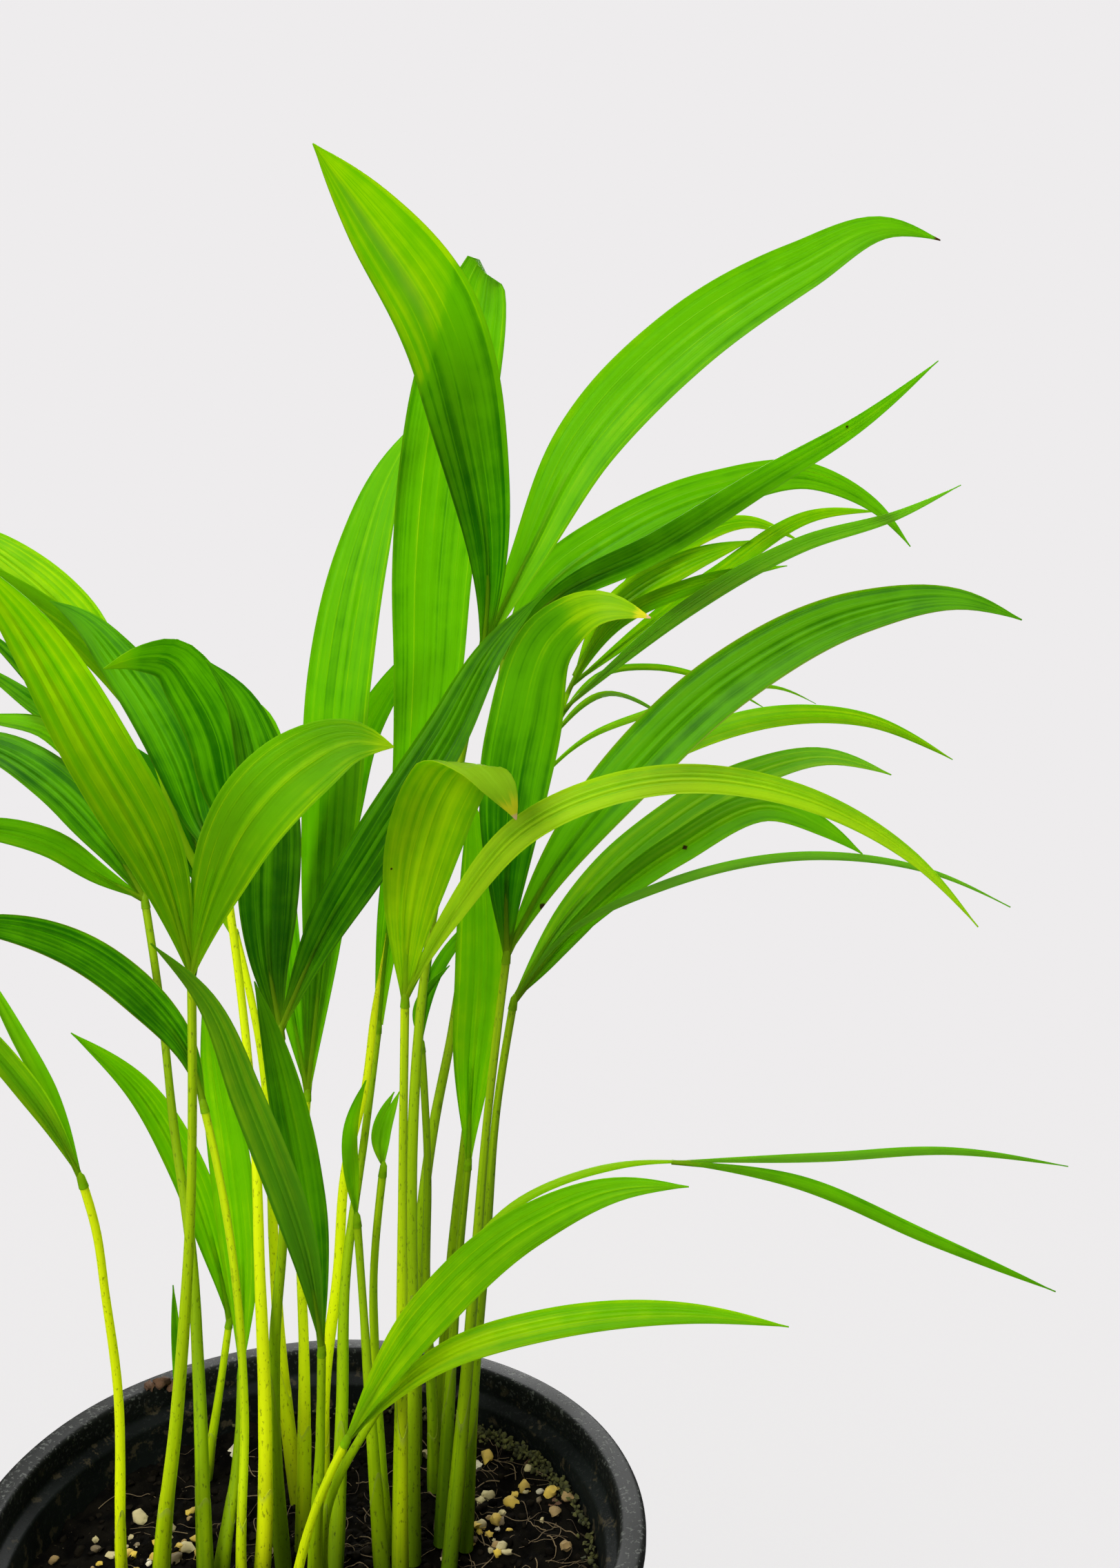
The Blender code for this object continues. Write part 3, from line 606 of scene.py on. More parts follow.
# ---- leaflets and stems ---------------------------------------------------------------------------
HALF_COLUMNS = [0.06, 0.16, 0.3, 0.45, 0.6, 0.75, 0.88, 0.97, 1.0]
COLUMNS = np.array([-c for c in reversed(HALF_COLUMNS)] + [0.0] + HALF_COLUMNS)
LEAF_MIDDLE = 0.32 * MM  # a leaflet's thickness at its midrib, and at its edge
LEAF_EDGE = 0.16 * MM
TIP_WIDTH = 0.3
ROW_PITCH = 2.2          # mm of a leaflet between two rows of its points
LEAFLET_ROWS = (22, 64)  # the fewest and the most
STEM_PITCH = 3.0
STEM_ROWS = (16, 70)
STEM_END = 0.009 * MM    # the blunt end of a stem below its foot
NARROW = 5               # a leaflet less wide than this, in mm, has one pleat on each side
SHEATH_LEVELS = 18
SHEATH_SIDES = 20
NO_SPOT = 9.0            # a distance from a spot at which nothing of it shows


def width_share(t, widest):
    """How wide a leaflet is along its length: narrow at its foot, pointed at its tip."""
    rising = 0.1 + 0.9 * np.sin(0.5 * math.pi * np.clip(t / widest, 0, 1)) ** 1.15
    falling = 1 - np.clip((t - widest) / (1 - widest), 0, 1) ** 2.4
    return np.where(t < widest, rising, falling)


def turned_normals(normals, tangents, degrees):
    """Each normal turned about its tangent."""
    angle = np.radians(degrees)[:, None]
    return normals * np.cos(angle) + np.cross(tangents, normals) * np.sin(angle)


def leaflet_tone(looks, t, s):
    """A leaflet's tone, paler beyond its fold and darker where another leaf shades it."""
    low = looks.get("low", looks["tone"])
    tone = low + (looks["tone"] - low) * eased(t, 0.15, 0.7)
    if "folded" in looks:
        tone = tone + 0.4 * eased(t, looks["folded"] - 0.02, looks["folded"] + 0.05)
    if "shade" in looks:
        at, slant, drop = looks["shade"]
        tone = tone[:, None] - drop * eased(at + slant * s - t[:, None], 0, 0.02)
    return tone


def leaflet_painted_sheen(looks, t, s):
    """Its painted sheen: an even pale cast, with a brighter painted band of it where it has one."""
    bloom = looks.get("bloom", 0.0)
    if "sheen" in looks:
        over, begins, ends, amount = looks["sheen"]
        along = (eased(t, begins, begins + 0.1) * eased(-t, -ends, -ends + 0.1))[:, None]
        bloom = bloom + amount * along * np.exp(-(((s - over) / 0.16) ** 2))
    return bloom


def leaflet_end(looks, t):
    """How yellow and how scorched it is along its length."""
    tip, brown = looks.get("tip", 0), looks.get("brown_tip", 0)
    yellow = scorch = np.zeros(len(t))
    if tip:
        yellow = eased(t, 1 - tip, 1 - 0.35 * tip)
        scorch = eased(t, 1 - 0.22 * tip, 1 - 0.06 * tip)
    if brown:
        scorch = eased(t, 1 - brown, 1 - 0.3 * brown)
    return yellow, scorch


def leaflet_spot(looks, upper):
    """How far each of its points is from its brown spot, in spot sizes."""
    rows, columns = upper.shape[:2]
    if "spot" not in looks:
        return np.full((rows, columns), NO_SPOT)
    along, over, size = looks["spot"]
    row = round(along * (rows - 1))
    column = int(np.abs(COLUMNS - (2 * over - 1)).argmin())
    return np.clip(np.linalg.norm(upper - upper[row, column], axis=2) / (size * MM), 0, NO_SPOT)


def grow_leaflet(growth, start, leaf, looks, rng):
    """A pleated blade with a midrib below it, and the rib that carries it off its stalk."""
    route = np.vstack([start[None, :], place(leaf["points"])])
    rows = int(np.clip(walked(route)[-1] / (ROW_PITCH * MM), *LEAFLET_ROWS))
    path = smooth_path(route, rows)
    tangents, normals = carried_normals(path, leaf["faces"])
    t = np.linspace(0, 1, rows)
    late = np.clip((t - leaf["twist_from"]) / (1 - leaf["twist_from"]), 0, 1)
    normals = turned_normals(normals, tangents, late * leaf["twist"])
    across = np.cross(tangents, normals)
    wide = leaf["wide"]
    half = np.maximum(wide * width_share(t, leaf["widest"]), TIP_WIDTH) / 2 * MM
    s = COLUMNS[None, :]
    side = half[:, None] * s

    open_share = (eased(t, 0.02, 0.25) * eased(1 - t, 0.02, 0.3))[:, None]
    keel = KEEL + 0.5 * np.exp(-t / 0.06)
    rise = keel[:, None] * half[:, None] * (np.sqrt(s**2 + 0.01) - 0.1)
    pleats = 1 if wide < NARROW else 3
    depth = min(0.02 * wide, 0.26) * MM
    ridges = depth * np.cos(2 * math.pi * pleats * s + rng.uniform(-0.5, 0.5)) * open_share
    sway = 0.035 * wide * MM
    left, right = wander(rng, t, 4, 1.2), wander(rng, t, 4, 1.2)
    ripple = sway * s**2 * np.where(s < 0, left[:, None], right[:, None]) * open_share
    up = normals[:, None, :]
    middle = path[:, None, :] + across[:, None, :] * side[:, :, None]
    middle = middle + (rise + ridges + ripple)[:, :, None] * up
    thinning = (0.45 + 0.55 * eased(1 - t, 0, 0.08))[:, None]
    thick = (LEAF_EDGE + (LEAF_MIDDLE - LEAF_EDGE) * (1 - s**2)) * thinning
    midrib = 0.38 * MM * np.exp(-((side / (0.5 * MM)) ** 2)) * (1 - 0.8 * t)[:, None] * min(1, wide / 8)
    upper = middle + up * (thick / 2)[:, :, None]
    lower = middle - up * (thick / 2 + midrib)[:, :, None]

    yellow, scorch = leaflet_end(looks, t)
    growth.sheet(
        upper, lower, (COLUMNS + 1) / 2, t,
        tone=leaflet_tone(looks, t, s), bloom=leaflet_painted_sheen(looks, t, s),
        edge=looks.get("edge", 0.12), yellow=yellow, scorch=scorch,
        stalk=0.9 * np.exp(-t / 0.045), spot=leaflet_spot(looks, upper),
        seed=rng.random(), wide=wide / 20,
    )
    carried = max(4, int(rows * 0.3))
    rib = path[:carried] - normals[:carried] * 0.25 * MM
    fading = np.linspace(0, 1, carried)
    growth.tube(rib, np.minimum(0.95, 0.09 * wide + 0.25) * MM * (1 - 0.8 * fading), 8,
                tone=looks.get("low", looks["tone"]), stalk=1 - 0.8 * fading,
                seed=rng.random(), spot=NO_SPOT)


def grow_leaf(name, frond):
    """A frond's leaflets with the stalk or the bare fork that they grow from."""
    rng = np.random.default_rng(sum(map(ord, name)))
    route = place(frond["stem"])
    end = smooth_path(route, 30)
    heading = unit(end[-1] - end[-2])
    fork = route[-1] - heading * 1.5 * MM
    if "stalk" in frond:
        stalk = [fork] + list(place(frond["stalk"]))
        path = smooth_path(stalk, 30)
    else:
        stalk = [fork, fork + heading * 6.5 * MM]
        path = smooth_path([fork, fork + heading * 4 * MM], 8)
    along = smooth_path(stalk, 101)
    share = np.linspace(0, 1, len(path))
    radii = PETIOLE_RADIUS * (1.08 - 0.3 * share) * MM * (1 - 0.6 * eased(share, 0.7, 1.0))
    growth = Growth()
    growth.tube(path, radii, 14, tone=0.6, stalk=1.0, seed=rng.random(), spot=NO_SPOT)
    for leaf, looks in zip(frond["blades"], LEAFLETS[name]):
        root = max(0.08, leaf["on"] - 0.06) if "stalk" in frond else 0.35
        grow_leaflet(growth, along[round(100 * root)], leaf, looks, rng)
    slot_name = "green_leaf"
    if name in YOUNG_LEAVES:
        slot_name = "young_leaf"
    elif name in DARK_LEAVES:
        slot_name = "dark_leaf"
    dress(growth.object(f"fronds_{name}", LOOKS[slot_name]), slot_name, f"leaf_{name}")


def wrap_foot(growth, path, radii, looks, rng):
    """The older leaf base around a stem's foot, a sleeve with an uneven mouth."""
    height = looks["sheath"] * rng.uniform(0.9, 1.1) * MM
    turn = rng.uniform(0, 2 * math.pi)
    angle = ring_angles(SHEATH_SIDES)
    mouth = height * (1 + 0.16 * np.cos(angle - turn) + 0.1 * np.cos(2 * (angle - turn)))
    tangents, normals = carried_normals(path, STEM_FACES)
    climbed = walked(path)

    def at(climb, values):
        return np.stack([np.interp(climb, climbed, values[:, i]) for i in range(3)], axis=1)

    last = SHEATH_LEVELS - 1
    rings = []
    for k in list(range(SHEATH_LEVELS)) + [last]:
        climb = k / last * mouth
        normal, tangent = at(climb, normals), at(climb, tangents)
        around = np.cos(angle)[:, None] * normal + np.sin(angle)[:, None] * np.cross(tangent, normal)
        inner = len(rings) == SHEATH_LEVELS
        gap = 0.0 if inner else 0.15 - 0.05 * k / SHEATH_LEVELS
        bulge = 1 + 0.05 * math.sin(math.pi * min(1, k / SHEATH_LEVELS * 1.6))
        reach = (np.interp(climb, climbed, radii) + gap * MM) * bulge
        rings.append(at(climb, path) + reach[:, None] * around)
    lips = np.append(eased(np.arange(SHEATH_LEVELS) / last, 0.86, 1.0), 1.0)
    growth.add(np.vstack(rings), ring_faces(len(rings), SHEATH_SIDES),
               ring_map(angle, np.linspace(0, 0.3, len(rings))),
               tone=looks["tone"] - 0.08, seed=rng.random(),
               sheath=0.3 + 0.7 * np.repeat(lips, SHEATH_SIDES))


def grow_stem(name, frond):
    """A stem from its foot to the fork, with the older leaf base that wraps its foot."""
    rng = np.random.default_rng(sum(map(ord, name)) + 7)
    looks = STEMS[name]
    route = place(frond["stem"])
    rows = int(np.clip(walked(route)[-1] / (STEM_PITCH * MM), *STEM_ROWS))
    path = smooth_path(route, rows)
    share = np.linspace(0, 1, rows)
    thick = FOOT_RADIUS * frond.get("thick", 1.0)
    radii = (thick + (PETIOLE_RADIUS - thick) * np.minimum(1, share / 0.75)) * MM
    radii = radii * (0.95 + 0.03 * wander(rng, share, 5, 3))
    if "pointed" in looks:
        radii = radii * (1 - 0.94 * eased(share, 1 - looks["pointed"], 1.001))
    end = path[:1] - np.array([0, 0, STEM_END])
    growth = Growth()
    growth.tube(np.vstack([end, path]), np.append(radii[0] * 0.9, radii), 16,
                along=np.append(-0.05, share), tone=looks["tone"], seed=rng.random(), sheath=0.0)
    wrap_foot(growth, path, radii, looks, rng)
    slot_name = "young_stem" if name in YOUNG_STEMS else "green_stem"
    dress(growth.object(f"stalk_{name}", LOOKS[slot_name]), slot_name, f"stem_{name}")


# ---- pot ------------------------------------------------------------------------------------------
POT_SEGMENTS = 200
ARC_STEPS = 5
LEDGE_FOOT = 60 * MM  # where the inner wall has a point between its ledge and its floor
MIDDLE = 0.5 * MM     # how near the axis the shell begins and ends


def rounded(corners):
    """A profile through (radius, height, rounding) corners, each rounded by an arc-like curve."""
    points = []
    for k, (r, z, cut) in enumerate(corners):
        here = np.array([r, z])
        if cut == 0 or k in (0, len(corners) - 1):
            points.append(here)
            continue
        before = np.array(corners[k - 1][:2]) - here
        after = np.array(corners[k + 1][:2]) - here
        a = here + unit(before) * min(cut, np.linalg.norm(before) / 2.01)
        b = here + unit(after) * min(cut, np.linalg.norm(after) / 2.01)
        for t in np.arange(ARC_STEPS + 1) / ARC_STEPS:
            points.append((1 - t) ** 2 * a + 2 * t * (1 - t) * here + t**2 * b)
    return np.array(points)


def body_radius(height):
    high = RIM_RADIUS - LIP_DEPTH - COLLAR_STEP
    return BASE_RADIUS + (high - BASE_RADIUS) * height / (POT_HEIGHT - COLLAR_HEIGHT)


def pot_wobble(angle, height):
    """How far the moulded rim is out of round."""
    waves = np.sin(3 * angle + 1) + 0.5 * np.sin(7 * angle + 4)
    return 0.18 * MM * eased(height, 0.1, 0.15) * waves


def turned_pot(profile, segments, **paint):
    """A closed shell of revolution whose profile starts and ends near the axis."""
    angle = ring_angles(segments)
    z = profile[:, 1][:, None] + 0 * angle
    r = profile[:, 0][:, None] + pot_wobble(angle, z)
    points = np.stack([r * np.cos(angle), r * np.sin(angle), z], axis=2)
    rows = len(profile)
    around = np.tile(angle / (2 * math.pi), rows)
    maps = np.stack([around, np.repeat(np.linspace(0, 1, rows), segments)], axis=1)
    growth = Growth()
    growth.add(points.reshape(-1, 3), ring_faces(rows, segments), maps,
               **{key: np.repeat(value, segments) for key, value in paint.items()})
    return growth


def make_pot():
    """The shell: up its outside, over the lip, down past the ledge and across the floor."""
    collar_foot = POT_HEIGHT - COLLAR_HEIGHT
    collar = RIM_RADIUS - LIP_DEPTH
    step = collar_foot + WALL
    floor_radius = body_radius(WALL) - WALL
    corners = [
        (MIDDLE, 0, 0),
        (body_radius(0) - BASE_EDGE * 0.6, 0, 1.5 * MM),
        (body_radius(BASE_EDGE), BASE_EDGE, 2.5 * MM),
        (body_radius(collar_foot - 1.2 * MM), collar_foot - 1.2 * MM, 0.8 * MM),
        (collar - 1.2 * MM, collar_foot + 0.4 * MM, 0.9 * MM),
        (collar, POT_HEIGHT - LIP_DEPTH - WALL, 1.4 * MM),
        (RIM_RADIUS, POT_HEIGHT - LIP_DEPTH, 0.7 * MM),
        (RIM_RADIUS, POT_HEIGHT, 1.5 * MM),
        (RIM_RADIUS - LIP_WIDTH, POT_HEIGHT, 1.3 * MM),
        (collar - WALL * 1.6, step + COLLAR_STEP * 0.4, 0.8 * MM),
        (body_radius(collar_foot) - WALL, step, 0.7 * MM),
        (body_radius(LEDGE_FOOT) - WALL, LEDGE_FOOT, 0.5 * MM),
        (floor_radius, WALL + BASE_EDGE, 2.0 * MM),
        (MIDDLE, WALL, 0),
    ]
    profile = rounded(corners)
    radius, height = profile[:, 0], profile[:, 1]
    lip = eased(height, POT_HEIGHT - 2.6 * MM, POT_HEIGHT - 0.3 * MM) * (radius > BASE_RADIUS)
    inside = (np.arange(len(profile)) > np.argmax(height) + 6).astype(float)
    shell = turned_pot(profile, POT_SEGMENTS, lip=lip, inside=inside)
    dress(shell.object("nursery_pot", LOOKS["pot_plastic"], 35), "pot_plastic", "pot")


# ---- soil -----------------------------------------------------------------------------------------
SOIL_GAP = 0.4 * MM
SOIL_RINGS = 110
SOIL_SEGMENTS = 300
SOIL_SIDE = ((100, 0), (60, 0), (6, 0), (2.2, 3))  # height and inset, in mm, down the plug's side
MAP_SPAN = 0.15                                    # metres of soil that its map covers


def soil_lift(x, y):
    """How far the soil's surface stands above or below its level, in metres."""
    low = noise.noise(Vector((x * 38, y * 38, 3.1)))
    middle = noise.noise(Vector((x * 160, y * 160, 7.7)))
    fine = noise.noise(Vector((x * 520, y * 520, 1.3)))
    heap = 3.4 * eased(0.8 * x + 0.6 * y, 0.025, 0.075) - 0.8
    return (1.4 * low + 1.9 * middle + 1.2 * fine + heap) * MM


def soil_radius(height):
    return body_radius(height) - WALL - SOIL_GAP


def make_soil():
    reach = soil_radius(SOIL_TOP)
    angle = ring_angles(SOIL_SEGMENTS)
    share = np.linspace(0.004, 1, SOIL_RINGS)[:, None]
    x, y = reach * share * np.cos(angle), reach * share * np.sin(angle)
    lift = np.array([[soil_lift(a, b) for a, b in zip(row_x, row_y)] for row_x, row_y in zip(x, y)])
    rings = list(np.stack([x, y, SOIL_TOP + lift], axis=2))
    for height, inset in SOIL_SIDE:
        r = soil_radius(height * MM) - inset * MM
        level = np.full(SOIL_SEGMENTS, height * MM)
        rings.append(np.stack([r * np.cos(angle), r * np.sin(angle), level], axis=1))
    points = np.vstack(rings)
    faces = [face[::-1] for face in ring_faces(len(rings), SOIL_SEGMENTS)]
    growth = Growth()
    growth.add(points, faces, points[:, :2] / MAP_SPAN + 0.5)
    dress(growth.object("potting_soil", LOOKS["potting_soil"], 80), "potting_soil", "soil")


def ball(subdivisions):
    """The points and faces of a unit ball of triangles."""
    shape = bmesh.new()
    bmesh.ops.create_icosphere(shape, subdivisions=subdivisions, radius=1)
    points = np.array([v.co[:] for v in shape.verts])
    faces = [tuple(v.index for v in face.verts) for face in shape.faces]
    shape.free()
    return points, faces


def lump(growth, shape, at, size, rng, rough, flat=0.75, **paint):
    """An irregular grain that sits at a point."""
    points, faces = shape
    stretch = size * np.array([
        rng.uniform(0.75, 1.25), rng.uniform(0.65, 1.1), rng.uniform(0.55, 1) * flat])
    seed = rng.uniform(0, 90, 3)
    swell = np.array([1 + rough * 2 * noise.noise(Vector(p * 1.5 + seed)) for p in points])
    turn = rng.uniform(0, 2 * math.pi)
    tilt = rng.uniform(-0.5, 0.5)
    body = points * swell[:, None] * stretch
    c, s = math.cos(turn), math.sin(turn)
    body = body @ np.array([[c, s, 0], [-s, c, 0], [0, 0, 1]])
    c, s = math.cos(tilt), math.sin(tilt)
    body = body @ np.array([[1, 0, 0], [0, c, s], [0, -s, c]])
    growth.add(body + at, faces, points[:, :2] * 0.5 + 0.5, **paint)


def on_soil(x, y, above):
    return np.array([x, y, SOIL_TOP + soil_lift(x, y) + above])


def scatter(rng, clusters, count):
    """Seeded (x, y) places, in metres, inside the pot: clusters are (x, y, spread, share) in mm."""
    shares = np.array([c[3] for c in clusters], float)
    places = []
    while len(places) < count:
        x, y, spread, _ = clusters[rng.choice(len(clusters), p=shares / shares.sum())]
        at = rng.normal((x, y), spread) * MM
        if math.hypot(*at) < soil_radius(SOIL_TOP) - WALL_CLEARANCE:
            places.append(at)
    return places


WALL_CLEARANCE = 2 * MM
GRIT_CLUSTERS = [(-37, 20, 6, 6), (-52, 19, 6, 3), (-28, 42, 9, 2), (45.5, 8, 4, 5),
                 (48, 19, 5, 2), (67, 17, 5, 2), (61, 40, 7, 2), (0, 0, 36, 5), (0, -40, 26, 4)]


CRUMB_CLUSTERS = [(0, 0, 42, 1)]
FIBRE_CLUSTERS = [(20, 0, 42, 1)]
CRUMBS, GRAINS, FIBRES, MOSS_TUFTS = 1500, 120, 230, 620
FIBRE_POINTS = 22

# a bark crumb's bearing in degrees, its distance from the axis, its height and its size in mm
BARK_CRUMBS = [(121, 79.5, 150.4, 2.6), (123.5, 80.5, 150.2, 1.9), (119, 78, 149.2, 1.8),
               (30, 71.5, 133.5, 2.6), (14, 68, 133.2, 2.2)]


def make_crumbs(rng, shape):
    crumbs = Growth()
    for x, y in scatter(rng, CRUMB_CLUSTERS, CRUMBS):
        size = rng.uniform(0.4, 1.4) * MM * (1.6 if rng.random() < 0.08 else 1)
        lump(crumbs, shape, on_soil(x, y, 0.25 * size), size, rng, rough=0.35, tone=rng.random())
    dress(crumbs.object("soil_crumbs", LOOKS["soil_crumbs"], 70), "potting_soil")


def make_grit(rng, shape):
    grit = Growth()
    for x, y in scatter(rng, GRIT_CLUSTERS, GRAINS):
        size = rng.uniform(0.8, 1.45) ** 2.0 * MM
        at = on_soil(x, y, 0.45 * size)
        lump(grit, shape, at, size, rng, rough=0.3, flat=0.85, tone=rng.random())
    dress(grit.object("grit_grains", LOOKS["grit"], 60), "potting_soil")


def make_fibres(rng):
    """Thin curved roots over the soil; a fibre that would run into the wall is left out."""
    fibres = Growth()
    for x, y in scatter(rng, FIBRE_CLUSTERS, FIBRES):
        turn = rng.uniform(0, 2 * math.pi)
        reach = rng.uniform(3, 12) * MM
        bend = rng.uniform(-1.2, 1.2)
        places = []
        for s in np.linspace(-1, 1, 9):
            a = turn + bend * s
            px, py = x + reach * s * math.cos(a), y + reach * s * math.sin(a)
            if math.hypot(px, py) > soil_radius(SOIL_TOP) - WALL_CLEARANCE:
                px, py = x, y + 0.2 * MM * s
            places.append(on_soil(px, py, (0.3 + 0.8 * (1 - s * s) * rng.random()) * MM))
        if np.diff(walked(places)).min() < 0.2 * MM:
            continue
        thick = rng.uniform(0.05, 0.17) * MM
        radii = thick * (1.1 - 0.6 * np.linspace(0, 1, FIBRE_POINTS))
        fibres.tube(smooth_path(places, FIBRE_POINTS), radii, 6, tone=rng.random())
    dress(fibres.object("root_fibres", LOOKS["root_fibre"], 80), "potting_soil")


def make_moss(rng, shape):
    """Tufts along the right-hand stretch of the wall."""
    moss = Growth()
    for _ in range(MOSS_TUFTS):
        a = math.radians(rng.normal(36, 24))
        r = soil_radius(SOIL_TOP) - abs(rng.normal(0, 1.6)) * MM - 0.2 * MM
        at = on_soil(r * math.cos(a), r * math.sin(a), abs(rng.normal(0, 1.3)) * MM)
        size = rng.uniform(0.35, 0.9) * MM
        lump(moss, shape, at, size, rng, rough=0.6, flat=1.2, tone=rng.random())
    dress(moss.object("wall_moss", LOOKS["moss"], 80), "potting_soil")


def make_bark(rng, shape):
    bark = Growth()
    for degrees, r, up, size in BARK_CRUMBS:
        a = math.radians(degrees)
        at = np.array([r * math.cos(a), r * math.sin(a), up]) * MM
        lump(bark, shape, at, size * MM, rng, rough=0.45, flat=0.7, tone=rng.random())
    dress(bark.object("bark_crumbs", LOOKS["bark"], 60), "potting_soil")


def make_soil_litter():
    rng = np.random.default_rng(11)
    small, fine = ball(1), ball(2)
    make_crumbs(rng, small)
    make_grit(rng, fine)
    make_fibres(rng)
    make_moss(rng, small)
    make_bark(rng, fine)


# ---- finishes -------------------------------------------------------------------------------------
def set_inputs(tree, node, inputs):
    """Links or sets a node's inputs by name or number."""
    for key, value in inputs.items():
        if isinstance(value, bpy.types.NodeSocket):
            tree.links.new(value, node.inputs[key])
        else:
            node.inputs[key].default_value = value


def put(tree, kind, inputs=None, **settings):
    """Adds a shader node with its settings and its inputs."""
    made = tree.nodes.new("ShaderNode" + kind)
    for key, value in settings.items():
        setattr(made, key, value)
    set_inputs(tree, made, inputs or {})
    return made


def maths(tree, operation, a, b=None, c=None, clamp=False):
    inputs = {0: a}
    if b is not None:
        inputs[1] = b
    if c is not None:
        inputs[2] = c
    return put(tree, "Math", inputs, operation=operation, use_clamp=clamp).outputs[0]


def times(tree, a, b):
    return maths(tree, "MULTIPLY", a, b)


def times_plus(tree, a, b, c, clamp=False):
    return maths(tree, "MULTIPLY_ADD", a, b, c, clamp)


def swung(tree, level, by, amount, clamp=False):
    """A level moved up and down by a texture whose middle is a half."""
    return times_plus(tree, maths(tree, "SUBTRACT", by, 0.5), amount, level, clamp)


def blended(tree, share, a, b):
    """A colour that goes from a to b as share goes from 0 to 1."""
    return put(tree, "Mix", {0: share, 6: a, 7: b}, data_type="RGBA").outputs[2]


def three_tone(tree, level, dark, middle, bright):
    """A colour that goes from dark over middle to bright as level goes from 0 to 1."""
    lower = blended(tree, ranged(tree, level, 0.0, 0.5), dark, middle)
    return blended(tree, ranged(tree, level, 0.5, 1.0), lower, bright)


def clouds(tree, vector, scale=1.0, detail=2.0, roughness=0.5):
    return put(tree, "TexNoise", {"Vector": vector, "Scale": scale, "Detail": detail,
                                  "Roughness": roughness}).outputs["Fac"]


def joined(tree, x, y, z):
    return put(tree, "CombineXYZ", {0: x, 1: y, 2: z}).outputs[0]


def scaled(tree, vector, scale):
    return put(tree, "Mapping", {0: vector, 3: scale}).outputs[0]


def bumped(tree, height, strength, distance):
    inputs = {"Height": height, "Strength": strength, "Distance": distance}
    return put(tree, "Bump", inputs).outputs[0]


def own_place(tree):
    return put(tree, "TexCoord").outputs["Object"]


def ranged(tree, value, low, high, to_low=0.0, to_high=1.0):
    return put(tree, "MapRange", {0: value, 1: low, 2: high, 3: to_low, 4: to_high},
               interpolation_type="SMOOTHSTEP").outputs[0]


def painted(tree, name):
    return put(tree, "Attribute", attribute_name=name).outputs["Fac"]


def colour(r, g, b):
    return (r, g, b, 1.0)


def new_group(name, inputs, outputs):
    """A node group with named sockets. It returns the group, its input node and its output node."""
    group = bpy.data.node_groups.new(name, "ShaderNodeTree")
    kinds = {"value": "NodeSocketFloat", "colour": "NodeSocketColor", "vector": "NodeSocketVector"}
    for label, kind in inputs:
        group.interface.new_socket(label, in_out="INPUT", socket_type=kinds[kind])
    for label, kind in outputs:
        group.interface.new_socket(label, in_out="OUTPUT", socket_type=kinds[kind])
    return group, group.nodes.new("NodeGroupInput"), group.nodes.new("NodeGroupOutput")


def place_group(tree, group, inputs):
    made = tree.nodes.new("ShaderNodeGroup")
    made.node_tree = group
    set_inputs(tree, made, inputs)
    return made.outputs


def make_rib_grain():
    """Lengthwise ribs: thin pale lines, broad light and dark bands, and fine fibres."""
    group, given, out = new_group(
        "rib_grain",
        [(label, "value") for label in ("Across", "Along", "Seed", "Ribs", "Width")],
        [(label, "value") for label in ("Lines", "Bands", "Fibres")])
    across, along, seed, ribs, width = (given.outputs[k] for k in range(5))
    shift = times(group, seed, 37.0)
    slow = joined(group, times(group, across, 3.0), times(group, along, 1.3), shift)
    counted = times_plus(group, across, ribs, times(group, clouds(group, slow), 0.6))
    nearest = maths(group, "ROUND", counted)
    gap = maths(group, "ABSOLUTE", maths(group, "SUBTRACT", counted, nearest))
    line = ranged(group, gap, 0.075, 0.02)
    which = maths(group, "ADD", nearest, shift)
    chance = put(group, "TexWhiteNoise", {"W": which}, noise_dimensions="1D").outputs["Value"]
    broken = clouds(group, joined(group, nearest, times(group, along, 5.0), shift), detail=3.0)
    strength = times(group, ranged(group, chance, 0.15, 0.75, 0.25, 1.0),
                     ranged(group, broken, 0.3, 0.55, 0.35, 1.0))
    group.links.new(times(group, line, strength), out.inputs["Lines"])
    over = times(group, across, width)
    wide = joined(group, times(group, over, 15.0), times(group, along, 0.9), shift)
    bands = clouds(group, wide, detail=3.0, roughness=0.55)
    group.links.new(ranged(group, bands, 0.3, 0.7), out.inputs["Bands"])
    fine = joined(group, times(group, over, 75.0), times(group, along, 6.0), shift)
    group.links.new(clouds(group, fine, roughness=0.6), out.inputs["Fibres"])
    return group


def make_flecks():
    """Small irregular flecks, and a soft mottle, over a surface."""
    group, given, out = new_group(
        "flecks",
        [("Vector", "vector"), ("Size", "value"), ("Amount", "value")],
        [("Mask", "value"), ("Mottle", "value")])
    vector, size, amount = (given.outputs[k] for k in range(3))
    scale = maths(group, "DIVIDE", 1.0, size)
    spots = clouds(group, vector, scale, 4.0, 0.65)
    level = maths(group, "SUBTRACT", 0.78, times(group, amount, 0.3))
    mask = ranged(group, spots, level, maths(group, "ADD", level, 0.06))
    group.links.new(mask, out.inputs["Mask"])
    soft = clouds(group, vector, maths(group, "DIVIDE", scale, 6.0), 3.0)
    group.links.new(soft, out.inputs["Mottle"])
    return group


